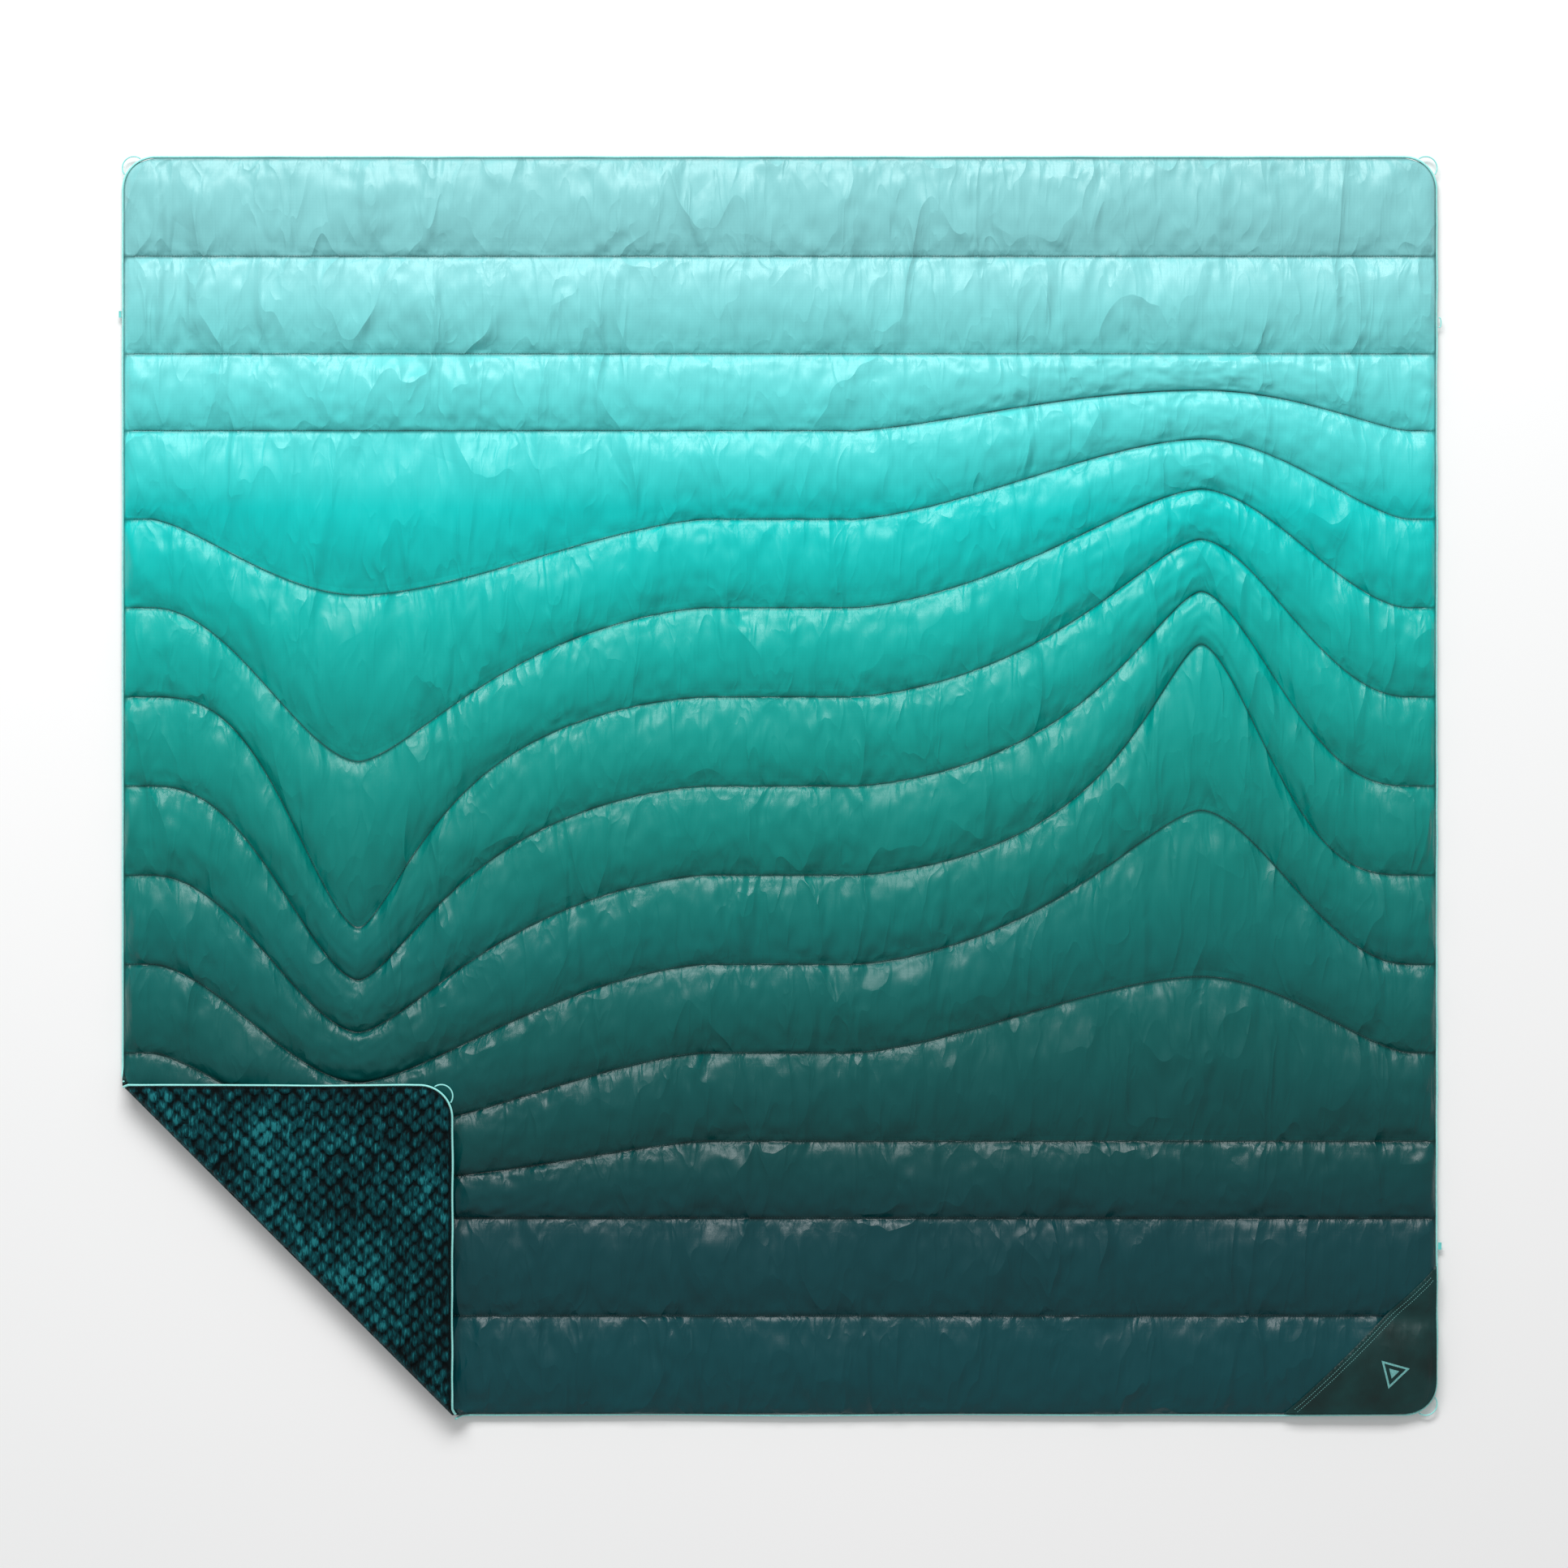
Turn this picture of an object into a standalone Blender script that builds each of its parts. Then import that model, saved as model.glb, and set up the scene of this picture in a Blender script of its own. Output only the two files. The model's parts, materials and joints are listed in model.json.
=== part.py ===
"""Quilted camp blanket for two people, lying flat with one corner folded over.

Frame: metres, +Z up, origin on the ground under the middle of the blanket, +X along the seams and
+Y towards the pale edge. Layers from the ground up are the pile lining, the insulation and the shell.
The folded corner is modelled unfolded, and hangs on an empty that turns it over on the fold line.
"""

import math

import bmesh
import bpy
from mathutils import Matrix, Vector
from mathutils.bvhtree import BVHTree

# Outline
LENGTH = 2.024
WIDTH = 1.938
CORNER_RADIUS = 0.052

# Layers, as heights above the ground
LINING_THICKNESS = 0.008
SHELL_THICKNESS = 0.0008
SEAM_HEIGHT = 0.0115
CROWN_HEIGHT = 0.0235
LAYER_GAP = 0.0003

# Quilting. Each seam runs at a level measured from the middle of the blanket, and rises by its own
# amount at the hill. The valley is the same hill turned half round about the middle.
SEAM_SHARES = (0.84004, 0.68524, 0.56347, 0.42312, 0.28277, 0.14138, 0.0)
RISE_SHARES = {3: 0.06398, 4: 0.12693, 5: 0.18782, 6: 0.24974, 7: 0.30857, 8: 0.36739, 9: 0.24458, 10: 0.12074}
HILL_X_SHARE = 0.63933
HILL_LEFT_SHARE = 0.52964
HILL_RIGHT_SHARE = 0.31522
HILL_LEFT_POWER = 1.5
HILL_LEFT_PINCH = 6.6
HILL_RIGHT_POWER = 1.3
HILL_RIGHT_SHARPENING = 1.7
HILL_RIGHT_PINCH = 1.9
HILL_PINCH_POWER = 1.5
STATIONS = 30
HEM_TAPER = 0.045
THREAD_DIAMETER = 0.0018
THREAD_LIFT = 0.0006
THREAD_END = 0.014

# Folded corner: how far the fold line starts from the corner along each edge
FOLD_LEG = 0.5135
FOLD_CLEARANCE = 0.0005
FOLD_STEPS = 6
FOLD_ANGLE = math.pi
FOLD_TIP_RADIUS = 0.012
FOLD_END_ANGLE = math.radians(87)
FOLD_TUCK_START = 0.7
CROSSING_STEPS = 8
THREAD_FOLD_MARGIN = 0.030

# Piping round the edge
PIPING_DIAMETER = 0.0035
PIPING_HEIGHT = 0.0075
LAYER_CLEARANCE = 0.0005
ARC_STEPS = 6

# Cord loops at the corners
LOOP_CORD = 0.0022
LOOP_RADIUS = 0.0175
LOOP_INSET = 0.005
LOOP_END_GAP = 0.0009
LOOP_POINTS = 15

# Small pieces on the side edges
CLIP_TAB = (0.004, 0.010, 0.0024)
CLIP_TAB_FROM_TOP = 0.244
CAPE_LOOP_CORD = 0.0018
CAPE_LOOP_REACH = 0.0055
CAPE_LOOP_WIDTH = 0.0166
CAPE_LOOP_FROM_TOP = 0.2565
LABEL_TAB = (0.0054, 0.011, 0.0012)
LABEL_TAB_FROM_BOTTOM = 0.2615
TAB_BEVEL = 0.0004

# Plain patch over the quilting at one corner
PATCH_LEG_X = 0.234
PATCH_LEG_Y = 0.228
PATCH_THICKNESS = 0.0008
PATCH_CUT_SPARE = 0.1
PATCH_SEAM_GAP = 0.010
PATCH_STITCH_END = 0.0475
PATCH_STITCH_INSETS = (0.006, 0.012)
PATCH_STITCH_DIAMETER = 0.0012
PATCH_STITCH_LIFT = 0.0015
PATCH_STITCH_STEPS = 22
EMBLEM_FROM_CORNER = (0.070, 0.067)
EMBLEM_SIZE = 0.052
EMBLEM_THICKNESS = 0.0005

# Values that follow from the sizes above
HALF_LENGTH = LENGTH / 2
HALF_WIDTH = WIDTH / 2
SEAM_LEVELS = tuple(HALF_WIDTH * share for share in SEAM_SHARES)
HILL_RISES = {number: HALF_WIDTH * share for number, share in RISE_SHARES.items()}
HILL_X = HALF_LENGTH * HILL_X_SHARE
HILL_LEFT = HALF_LENGTH * HILL_LEFT_SHARE
HILL_RIGHT = HALF_LENGTH * HILL_RIGHT_SHARE
LAYER_INSET = PIPING_DIAMETER + LAYER_CLEARANCE
FOLD_HEIGHT = CROWN_HEIGHT + FOLD_CLEARANCE
FOLD_SUM = FOLD_LEG - HALF_LENGTH - HALF_WIDTH
ALONG = Vector((1, -1, 0)).normalized()
OUTWARD = Vector((-1, -1, 0)).normalized()
FOLD_MIDDLE = Vector((FOLD_SUM / 2 + (HALF_WIDTH - HALF_LENGTH) / 2,
                      FOLD_SUM / 2 - (HALF_WIDTH - HALF_LENGTH) / 2, FOLD_HEIGHT))
INSULATION_BOTTOM = LINING_THICKNESS + LAYER_GAP
INSULATION_DROP = SHELL_THICKNESS + LAYER_GAP


def clear_scene():
    for obj in list(bpy.data.objects):
        bpy.data.objects.remove(obj, do_unlink=True)


def material(name, colour, roughness, metallic=0.0):
    found = bpy.data.materials.new(name)
    found.use_nodes = True
    shader = found.node_tree.nodes["Principled BSDF"]
    shader.inputs["Base Color"].default_value = (*colour, 1.0)
    shader.inputs["Roughness"].default_value = roughness
    shader.inputs["Metallic"].default_value = metallic
    return found


def add_object(name, data, finish):
    obj = bpy.data.objects.new(name, data)
    obj.data.materials.append(finish)
    bpy.context.collection.objects.link(obj)
    return obj


def mesh_object(name, vertices, faces, finish):
    """An object of these faces, triangulated, with its normals pointing out."""
    mesh = bpy.data.meshes.new(name)
    mesh.from_pydata([tuple(v) for v in vertices], [], faces)
    work = bmesh.new()
    work.from_mesh(mesh)
    bmesh.ops.recalc_face_normals(work, faces=work.faces)
    bmesh.ops.triangulate(work, faces=work.faces)
    work.to_mesh(mesh)
    work.free()
    return add_object(name, mesh, finish)


def tube_object(name, points, diameter, finish, sides_step=2):
    """A round bar with closed ends along these points. Its origin is at the middle of its two ends."""
    origin = (Vector(points[0]) + Vector(points[-1])) / 2
    curve = bpy.data.curves.new(name, "CURVE")
    curve.dimensions = "3D"
    curve.bevel_depth = diameter / 2
    curve.bevel_resolution = sides_step
    curve.use_fill_caps = True
    spline = curve.splines.new("POLY")
    spline.points.add(len(points) - 1)
    for slot, point in zip(spline.points, points):
        slot.co = (*(Vector(point) - origin), 1.0)
    obj = add_object(name, curve, finish)
    obj.location = origin
    return obj


def prism(name, outline, low, high, finish):
    """A closed upright prism over a flat outline of (x, y) points."""
    count = len(outline)
    vertices = [(x, y, z) for z in (low, high) for x, y in outline]
    sides = [(i, (i + 1) % count, count + (i + 1) % count, count + i) for i in range(count)]
    caps = [tuple(range(count)), tuple(range(count, 2 * count))]
    return mesh_object(name, vertices, caps + sides, finish)


def hide(obj):
    obj.hide_render = True
    obj.display_type = "WIRE"
    return obj


def boolean(obj, cutter, operation):
    modifier = obj.modifiers.new(operation.title(), "BOOLEAN")
    modifier.object = cutter
    modifier.operation = operation
    modifier.solver = "EXACT"


# The quilting pattern

def hill(x, rise):
    """How far a seam that rises this much at the hill is lifted at x."""
    share = rise / max(HILL_RISES.values())
    if x < HILL_X:
        reach, power, pinch = (HILL_X - x) / HILL_LEFT, HILL_LEFT_POWER, HILL_LEFT_PINCH * share ** 2
    else:
        reach, power = (x - HILL_X) / HILL_RIGHT, HILL_RIGHT_POWER + HILL_RIGHT_SHARPENING * share ** 2
        pinch = HILL_RIGHT_PINCH * share ** 2
    if reach >= 1:
        return 0.0
    return rise * (1 - reach ** 2) ** power / (1 + pinch * reach ** HILL_PINCH_POWER)


def seam_y(number, x):
    """The y of seam 1 to 13 at x. Numbers 0 and 14 are the edges of the quilted area."""
    last = 2 * len(SEAM_LEVELS)
    if number in (0, last):
        return (HALF_WIDTH - LAYER_INSET) * (1 if number == 0 else -1)
    middle = len(SEAM_LEVELS)
    level = SEAM_LEVELS[number - 1] if number <= middle else -SEAM_LEVELS[last - number - 1]
    return level + hill(x, HILL_RISES.get(number, 0)) - hill(-x, HILL_RISES.get(last - number, 0))


def quilt_stations():
    """The x of each column of the quilted grid, with one close to each side edge."""
    edge = HALF_LENGTH - LAYER_INSET
    inner = edge - HEM_TAPER
    middle = [-inner + 2 * inner * i / (STATIONS - 2) for i in range(STATIONS - 1)]
    return [-edge] + middle + [edge]


def quilt_rows():
    """Every row of the quilted grid, as points. Even rows are seams, and odd rows are crowns."""
    stations = quilt_stations()
    rows = []
    for number in range(2 * len(SEAM_LEVELS) + 1):
        rows.append([(x, seam_y(number, x), SEAM_HEIGHT) for x in stations])
        if number == 2 * len(SEAM_LEVELS):
            break
        crown = []
        for i, x in enumerate(stations):
            y = (seam_y(number, x) + seam_y(number + 1, x)) / 2
            crown.append((x, y, SEAM_HEIGHT if i in (0, len(stations) - 1) else CROWN_HEIGHT))
        rows.append(crown)
    return rows


def quilted_sheet(name, lift, thickness, finish):
    """A sheet that follows the quilting, with its top this far above the shell's top."""
    rows = quilt_rows()
    across = len(rows[0])
    vertices = [(x, y, z + lift) for row in rows for x, y, z in row]
    vertices += [(x, y, z + lift - thickness) for row in rows for x, y, z in row]
    return mesh_object(name, vertices, grid_faces(len(rows), across, True), finish)


def grid_faces(down, across, underside):
    """Faces of a closed grid block: its top, its rim and an underside, either a grid or one flat face."""
    below = down * across
    faces = []
    for i in range(down - 1):
        for j in range(across - 1):
            a = i * across + j
            quad = (a, a + 1, a + across + 1, a + across)
            faces.append(quad)
            if underside:
                faces.append(tuple(below + k for k in reversed(quad)))
    rim = list(range(across))
    rim += [i * across + across - 1 for i in range(1, down)]
    rim += [(down - 1) * across + j for j in range(across - 2, -1, -1)]
    rim += [i * across for i in range(down - 2, 0, -1)]
    lower = [below + k for k in rim] if underside else [below + k for k in range(len(rim))]
    for k in range(len(rim)):
        after = (k + 1) % len(rim)
        faces.append((rim[k], lower[k], lower[after], rim[after]))
    if not underside:
        faces.append(tuple(reversed(lower)))
    return faces


def insulation_block(name, finish):
    """The filling, flat below and crowned between the seams above."""
    rows = quilt_rows()
    across, down = len(rows[0]), len(rows)
    vertices = [(x, y, z - INSULATION_DROP) for row in rows for x, y, z in row]
    rim = [rows[0][j] for j in range(across)]
    rim += [rows[i][-1] for i in range(1, down)]
    rim += [rows[-1][j] for j in range(across - 2, -1, -1)]
    rim += [rows[i][0] for i in range(down - 2, 0, -1)]
    vertices += [(x, y, INSULATION_BOTTOM) for x, y, _ in rim]
    return mesh_object(name, vertices, grid_faces(down, across, False), finish)


# The outline, and how the fold divides it

def corner_centre(sign_x, sign_y):
    return Vector((sign_x * (HALF_LENGTH - CORNER_RADIUS), sign_y * (HALF_WIDTH - CORNER_RADIUS)))


def rounded_outline(inset):
    """The blanket's outline, counter-clockwise from the lower right corner."""
    points = []
    radius = CORNER_RADIUS - inset
    for sign_x, sign_y, start in ((1, -1, -90), (1, 1, 0), (-1, 1, 90), (-1, -1, 180)):
        centre = corner_centre(sign_x, sign_y)
        for step in range(ARC_STEPS + 1):
            angle = math.radians(start + 90 * step / ARC_STEPS)
            points.append((centre.x + radius * math.cos(angle), centre.y + radius * math.sin(angle)))
    return points


def fold_side_cutter(name, side):
    """The space on one side of the fold line, side -1 for the main part and 1 for the folded corner.

    Its lower edge is rounded, so that the two parts make a half round roll when the corner is turned over.
    """
    far = LENGTH + WIDTH
    profile = [(far, -FOLD_HEIGHT), (FOLD_HEIGHT, -FOLD_HEIGHT)]
    for step in range(FOLD_STEPS + 1):
        angle = math.pi / 2 * step / FOLD_STEPS
        reach = FOLD_HEIGHT * (1 - math.sin(angle)) + FOLD_CLEARANCE * math.sin(angle)
        profile.append((reach, FOLD_HEIGHT * (1 - math.cos(angle))))
    profile += [(FOLD_CLEARANCE, 3 * FOLD_HEIGHT), (far, 3 * FOLD_HEIGHT)]
    count = len(profile)
    vertices = []
    for end in (-far, far):
        for reach, height in profile:
            place = FOLD_MIDDLE + ALONG * end + OUTWARD * side * reach
            vertices.append((place.x, place.y, height))
    sides = [(i, (i + 1) % count, count + (i + 1) % count, count + i) for i in range(count)]
    caps = [tuple(range(count)), tuple(range(count, 2 * count))]
    return hide(mesh_object(name, vertices, caps + sides, LINING))


def beyond_fold(x, y):
    """How far a point lies beyond the fold line, towards the folded corner."""
    return (FOLD_SUM - x - y) / math.sqrt(2)


def fold_axis():
    """The empty that carries the folded corner. It stands on the fold line and is turned half round."""
    axis = bpy.data.objects.new("fold_axis", None)
    bpy.context.collection.objects.link(axis)
    axis.location = FOLD_MIDDLE
    axis.rotation_mode = "QUATERNION"
    axis.rotation_quaternion = Matrix.Rotation(FOLD_ANGLE, 4, ALONG).to_quaternion()
    return axis


def turn_over(obj, axis):
    obj.parent = axis
    obj.matrix_parent_inverse = Matrix.Translation(-FOLD_MIDDLE)


# Layers

def make_layers(axis):
    """The lining, the insulation and the shell, each in a main part and a folded corner."""
    outline = rounded_outline(LAYER_INSET)
    for prefix, side in (("main", -1), ("corner", 1)):
        region = fold_side_cutter(f"{prefix}_side", side)
        bound = hide(prism(f"{prefix}_bound", outline, -FOLD_HEIGHT, 3 * FOLD_HEIGHT, LINING))
        lining = prism(f"{prefix}_lining", outline, 0.0, LINING_THICKNESS, LINING)
        filling = insulation_block(f"{prefix}_insulation", INSULATION)
        shell = quilted_sheet(f"{prefix}_shell", 0.0, SHELL_THICKNESS, SHELL)
        for layer in (lining, filling, shell):
            boolean(layer, region, "INTERSECT")
        for layer in (filling, shell):
            boolean(layer, bound, "INTERSECT")
        if prefix == "corner":
            for piece in (lining, filling, shell, region, bound):
                turn_over(piece, axis)


# Seams

def make_seam_threads(axis):
    """One line of stitching for each seam, in two pieces where the fold crosses it."""
    reach = HALF_LENGTH - LAYER_INSET - THREAD_END
    columns = [x for x in quilt_stations() if abs(x) < reach]
    for number in range(1, 2 * len(SEAM_LEVELS)):
        straight = number not in HILL_RISES and 2 * len(SEAM_LEVELS) - number not in HILL_RISES
        stations = [-reach, reach] if straight else [-reach] + columns + [reach]
        end = patch_start(number)
        points = [(x, seam_y(number, x)) for x in stations]
        crossing = fold_crossing(number, reach)
        if crossing is not None:
            main = [(crossing[0], seam_y(number, crossing[0]))]
            main += [p for p in points if p[0] > crossing[0] + THREAD_END]
            folded = [p for p in points if p[0] < crossing[1] - THREAD_END]
            folded += [(crossing[1], seam_y(number, crossing[1]))]
            turn_over(thread(f"corner_seam_{number:02d}", folded), axis)
            points = main
        if end is not None:
            points = [p for p in points if p[0] < end] + [(end, seam_y(number, end))]
        thread(f"main_seam_{number:02d}", points)


def thread(name, points):
    height = SEAM_HEIGHT + THREAD_LIFT + THREAD_DIAMETER / 2
    return tube_object(name, [(x, y, height) for x, y in points], THREAD_DIAMETER, THREAD, 0)


def fold_crossing(number, reach):
    """The x on the main side and on the corner side where a seam stops at the fold, or None."""
    margin = THREAD_FOLD_MARGIN * math.sqrt(2)
    x = FOLD_SUM - seam_y(number, -reach)
    for _ in range(CROSSING_STEPS):
        x = FOLD_SUM - seam_y(number, x)
    if x < -reach + margin:
        return None
    return x + margin, x - margin


def patch_start(number):
    """The x where the patch covers a seam, or None."""
    corner_x, corner_y = HALF_LENGTH - LAYER_INSET, -HALF_WIDTH + LAYER_INSET
    share = (seam_y(number, corner_x) - corner_y) / PATCH_LEG_Y
    if share >= 1:
        return None
    return corner_x - PATCH_LEG_X * (1 - share) - PATCH_SEAM_GAP


# Piping

def make_piping(axis):
    """The round edging, in a main part and a folded corner that meet at the two ends of the fold."""
    inset = PIPING_DIAMETER / 2
    outline = [Vector(p) for p in rounded_outline(inset)]
    main = [p for p in outline if beyond_fold(p.x, p.y) < 0]
    folded = [p for p in outline if beyond_fold(p.x, p.y) > 0]
    bottom = fold_end_path(Vector((0, -HALF_WIDTH + inset)), Vector((1, 0)), -1)
    left = fold_end_path(Vector((-HALF_LENGTH + inset, 0)), Vector((0, 1)), -1)
    path = bottom[::-1] + [(*p, PIPING_HEIGHT) for p in main] + left
    tube_object("main_piping", path, PIPING_DIAMETER, PIPING)
    bottom = fold_end_path(Vector((0, -HALF_WIDTH + inset)), Vector((1, 0)), 1)
    left = fold_end_path(Vector((-HALF_LENGTH + inset, 0)), Vector((0, 1)), 1)
    path = left[::-1] + [(*p, PIPING_HEIGHT) for p in folded] + bottom
    turn_over(tube_object("corner_piping", path, PIPING_DIAMETER, PIPING), axis)


def fold_end_path(on_edge, edge, side):
    """The piping's last points at one end of the fold, rising to the fold's height along an edge.

    side is -1 on the main part and 1 on the folded corner, where the points are still unfolded.
    """
    meet = on_edge + edge * (FOLD_SUM - on_edge.x - on_edge.y)
    inward = Vector((-edge.y, -edge.x)) if edge.x else Vector((edge.y, edge.x))
    points = []
    rise = FOLD_HEIGHT - PIPING_HEIGHT
    for step in range(FOLD_STEPS + 1):
        angle = FOLD_END_ANGLE * step / FOLD_STEPS
        along = FOLD_HEIGHT * math.sqrt(2) * (1 - math.sin(angle)) + FOLD_TIP_RADIUS * math.sin(angle) / 3
        place = meet - edge * side * along
        place += inward.normalized() * FOLD_TIP_RADIUS * max(0.0, math.sin(angle) - FOLD_TUCK_START)
        points.append((place.x, place.y, FOLD_HEIGHT - rise * math.cos(angle)))
    return points


# Cord loops, tabs and the patch

def corner_loop(name, sign_x, sign_y):
    """An open ring of cord round one corner, from the piping out and back to the piping."""
    diagonal = Vector((sign_x, sign_y)).normalized()
    centre = corner_centre(sign_x, sign_y)
    off = CORNER_RADIUS - LOOP_INSET
    end = CORNER_RADIUS + LOOP_END_GAP
    middle = centre + diagonal * off
    half_turn = math.pi - math.acos((off ** 2 + LOOP_RADIUS ** 2 - end ** 2) / (2 * off * LOOP_RADIUS))
    points = []
    for step in range(LOOP_POINTS):
        turn = half_turn * (2 * step / (LOOP_POINTS - 1) - 1)
        reach = Matrix.Rotation(turn, 2) @ diagonal * LOOP_RADIUS
        points.append((*(middle + reach), PIPING_HEIGHT))
    return tube_object(name, points, LOOP_CORD, CORD)


def make_loops(axis):
    corner_loop("loop_upper_left", -1, 1)
    corner_loop("loop_upper_right", 1, 1)
    corner_loop("loop_lower_right", 1, -1)
    turn_over(corner_loop("loop_folded_corner", -1, -1), axis)


def make_cape_loop():
    """A short loop of cord on the side edge that the clip tab hooks through."""
    root = HALF_LENGTH + LAYER_GAP + CAPE_LOOP_CORD / 2
    reach = CAPE_LOOP_REACH - CAPE_LOOP_CORD
    half = (CAPE_LOOP_WIDTH - CAPE_LOOP_CORD) / 2
    points = []
    for step in range(LOOP_POINTS):
        angle = math.pi * (step / (LOOP_POINTS - 1) - 0.5)
        bulge = math.cos(angle) ** 0.5
        points.append((root + reach * bulge, HALF_WIDTH - CAPE_LOOP_FROM_TOP + half * math.sin(angle), PIPING_HEIGHT))
    tube_object("cape_loop", points, CAPE_LOOP_CORD, CORD)


def edge_tab(name, size, side, y, finish):
    """A folded tab that stands out from a side edge."""
    mesh = bpy.data.meshes.new(name)
    work = bmesh.new()
    bmesh.ops.create_cube(work, size=1.0, matrix=Matrix.Diagonal((*size, 1.0)))
    work.to_mesh(mesh)
    work.free()
    obj = add_object(name, mesh, finish)
    obj.location = (side * (HALF_LENGTH + LAYER_GAP + size[0] / 2), y, PIPING_HEIGHT)
    bevel = obj.modifiers.new("Bevel", "BEVEL")
    bevel.width = TAB_BEVEL
    bevel.segments = 2
    return obj


def patch_outline(inset):
    """The triangle at the lower right corner, larger than the blanket's outline on its two legs."""
    corner = Vector((HALF_LENGTH - LAYER_INSET, -HALF_WIDTH + LAYER_INSET))
    left = corner + Vector((-PATCH_LEG_X, 0))
    top = corner + Vector((0, PATCH_LEG_Y))
    slant = (top - left).normalized()
    inward = Vector((slant.y, -slant.x)) * inset
    spare = slant * PATCH_CUT_SPARE
    beyond = Vector((2 * PATCH_CUT_SPARE, -2 * PATCH_CUT_SPARE))
    return left + inward - spare, top + inward + spare, corner + beyond


def draped_piece(name, outline, lift, thickness, finish):
    """A thin piece cut to an outline that lies on the quilting."""
    piece = quilted_sheet(name, lift, thickness, finish)
    cutter = hide(prism(f"{name}_outline", outline, -FOLD_HEIGHT, 3 * FOLD_HEIGHT, LINING))
    boolean(piece, cutter, "INTERSECT")
    return piece


def make_patch():
    """The plain patch, its two lines of stitching and a small tent mark."""
    top_of_patch = LAYER_GAP + PATCH_THICKNESS
    patch = draped_piece("corner_patch", patch_outline(0.0), top_of_patch, PATCH_THICKNESS, PATCH)
    boolean(patch, bpy.data.objects["main_bound"], "INTERSECT")
    top_of_emblem = top_of_patch + LAYER_GAP + EMBLEM_THICKNESS
    x, y = HALF_LENGTH - EMBLEM_FROM_CORNER[0], EMBLEM_FROM_CORNER[1] - HALF_WIDTH
    half = EMBLEM_SIZE / 2
    tent = [(x - half, y - half), (x - half / 4, y - half), (x, y), (x + half / 4, y - half),
            (x + half, y - half), (x, y + half)]
    draped_piece("patch_emblem", tent, top_of_emblem, EMBLEM_THICKNESS, THREAD)
    surface = surface_tree(quilt_rows())
    for number, inset in enumerate(PATCH_STITCH_INSETS, start=1):
        start, stop, _ = patch_outline(inset)
        end = (stop - start).normalized() * (PATCH_CUT_SPARE + PATCH_STITCH_END)
        points = []
        for step in range(PATCH_STITCH_STEPS + 1):
            place = (start + end).lerp(stop - end, step / PATCH_STITCH_STEPS)
            hit = surface.ray_cast(Vector((*place, 1.0)), Vector((0, 0, -1)))[0]
            points.append((*place, hit.z + top_of_patch + PATCH_STITCH_LIFT))
        tube_object(f"patch_stitch_{number}", points, PATCH_STITCH_DIAMETER, THREAD, 0)


def surface_tree(rows):
    """The quilted top as a search tree, for finding its height at a point."""
    across = len(rows[0])
    points = [Vector(p) for row in rows for p in row]
    quads = [face for face in grid_faces(len(rows), across, True) if max(face) < len(points)]
    return BVHTree.FromPolygons(points, quads)


clear_scene()
SHELL = material("shell", (0.02, 0.27, 0.27), 0.35)
INSULATION = material("insulation", (0.85, 0.86, 0.86), 0.9)
LINING = material("lining", (0.01, 0.10, 0.11), 0.95)
PIPING = material("piping", (0.40, 0.78, 0.75), 0.5)
THREAD = material("thread", (0.30, 0.62, 0.62), 0.6)
CORD = material("cord", (0.36, 0.66, 0.65), 0.6)
PATCH = material("patch", (0.005, 0.03, 0.04), 0.6)
TAB = material("tab", (0.05, 0.30, 0.30), 0.6)

FOLD_AXIS = fold_axis()
make_layers(FOLD_AXIS)
make_seam_threads(FOLD_AXIS)
make_piping(FOLD_AXIS)
make_loops(FOLD_AXIS)
make_cape_loop()
edge_tab("clip_tab", CLIP_TAB, -1, HALF_WIDTH - CLIP_TAB_FROM_TOP, TAB)
edge_tab("label_tab", LABEL_TAB, 1, LABEL_TAB_FROM_BOTTOM - HALF_WIDTH, TAB)
make_patch()
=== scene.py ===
"""Quilted camp blanket with one corner folded over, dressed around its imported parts.

Frame: metres, +Z up, origin on the ground under the middle of the blanket, +X along the straight
seams and +Y towards the pale edge. The folded corner is made lying flat and is then turned over.
"""

import json
import logging
import math
from collections.abc import Callable, Sequence
from dataclasses import dataclass, field
from enum import Enum

import bmesh
import bpy
import numpy as np
from mathutils import Matrix, Vector
from mathutils.bvhtree import BVHTree


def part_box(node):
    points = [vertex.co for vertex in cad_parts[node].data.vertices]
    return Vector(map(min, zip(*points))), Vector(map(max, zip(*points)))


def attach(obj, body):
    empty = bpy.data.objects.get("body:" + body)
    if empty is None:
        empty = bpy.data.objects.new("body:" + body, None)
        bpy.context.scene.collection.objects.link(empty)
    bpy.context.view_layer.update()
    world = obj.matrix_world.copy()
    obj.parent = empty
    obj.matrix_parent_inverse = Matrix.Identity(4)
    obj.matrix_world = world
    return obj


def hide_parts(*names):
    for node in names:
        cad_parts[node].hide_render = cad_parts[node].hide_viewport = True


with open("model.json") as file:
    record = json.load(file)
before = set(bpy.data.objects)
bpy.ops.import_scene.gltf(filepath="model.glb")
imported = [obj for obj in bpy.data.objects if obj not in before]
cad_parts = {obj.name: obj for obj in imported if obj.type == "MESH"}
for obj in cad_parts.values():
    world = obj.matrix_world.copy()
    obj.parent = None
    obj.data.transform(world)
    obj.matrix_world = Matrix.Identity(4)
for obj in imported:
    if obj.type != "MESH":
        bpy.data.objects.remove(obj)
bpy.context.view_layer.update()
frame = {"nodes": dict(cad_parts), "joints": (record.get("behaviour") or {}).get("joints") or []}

LOG = logging.getLogger("camp_blanket")
Colour = tuple[float, float, float, float]


class Side(Enum):
    """The two parts that the fold line divides the blanket into, by their sign beyond the line."""

    MAIN = -1
    CORNER = 1


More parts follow.
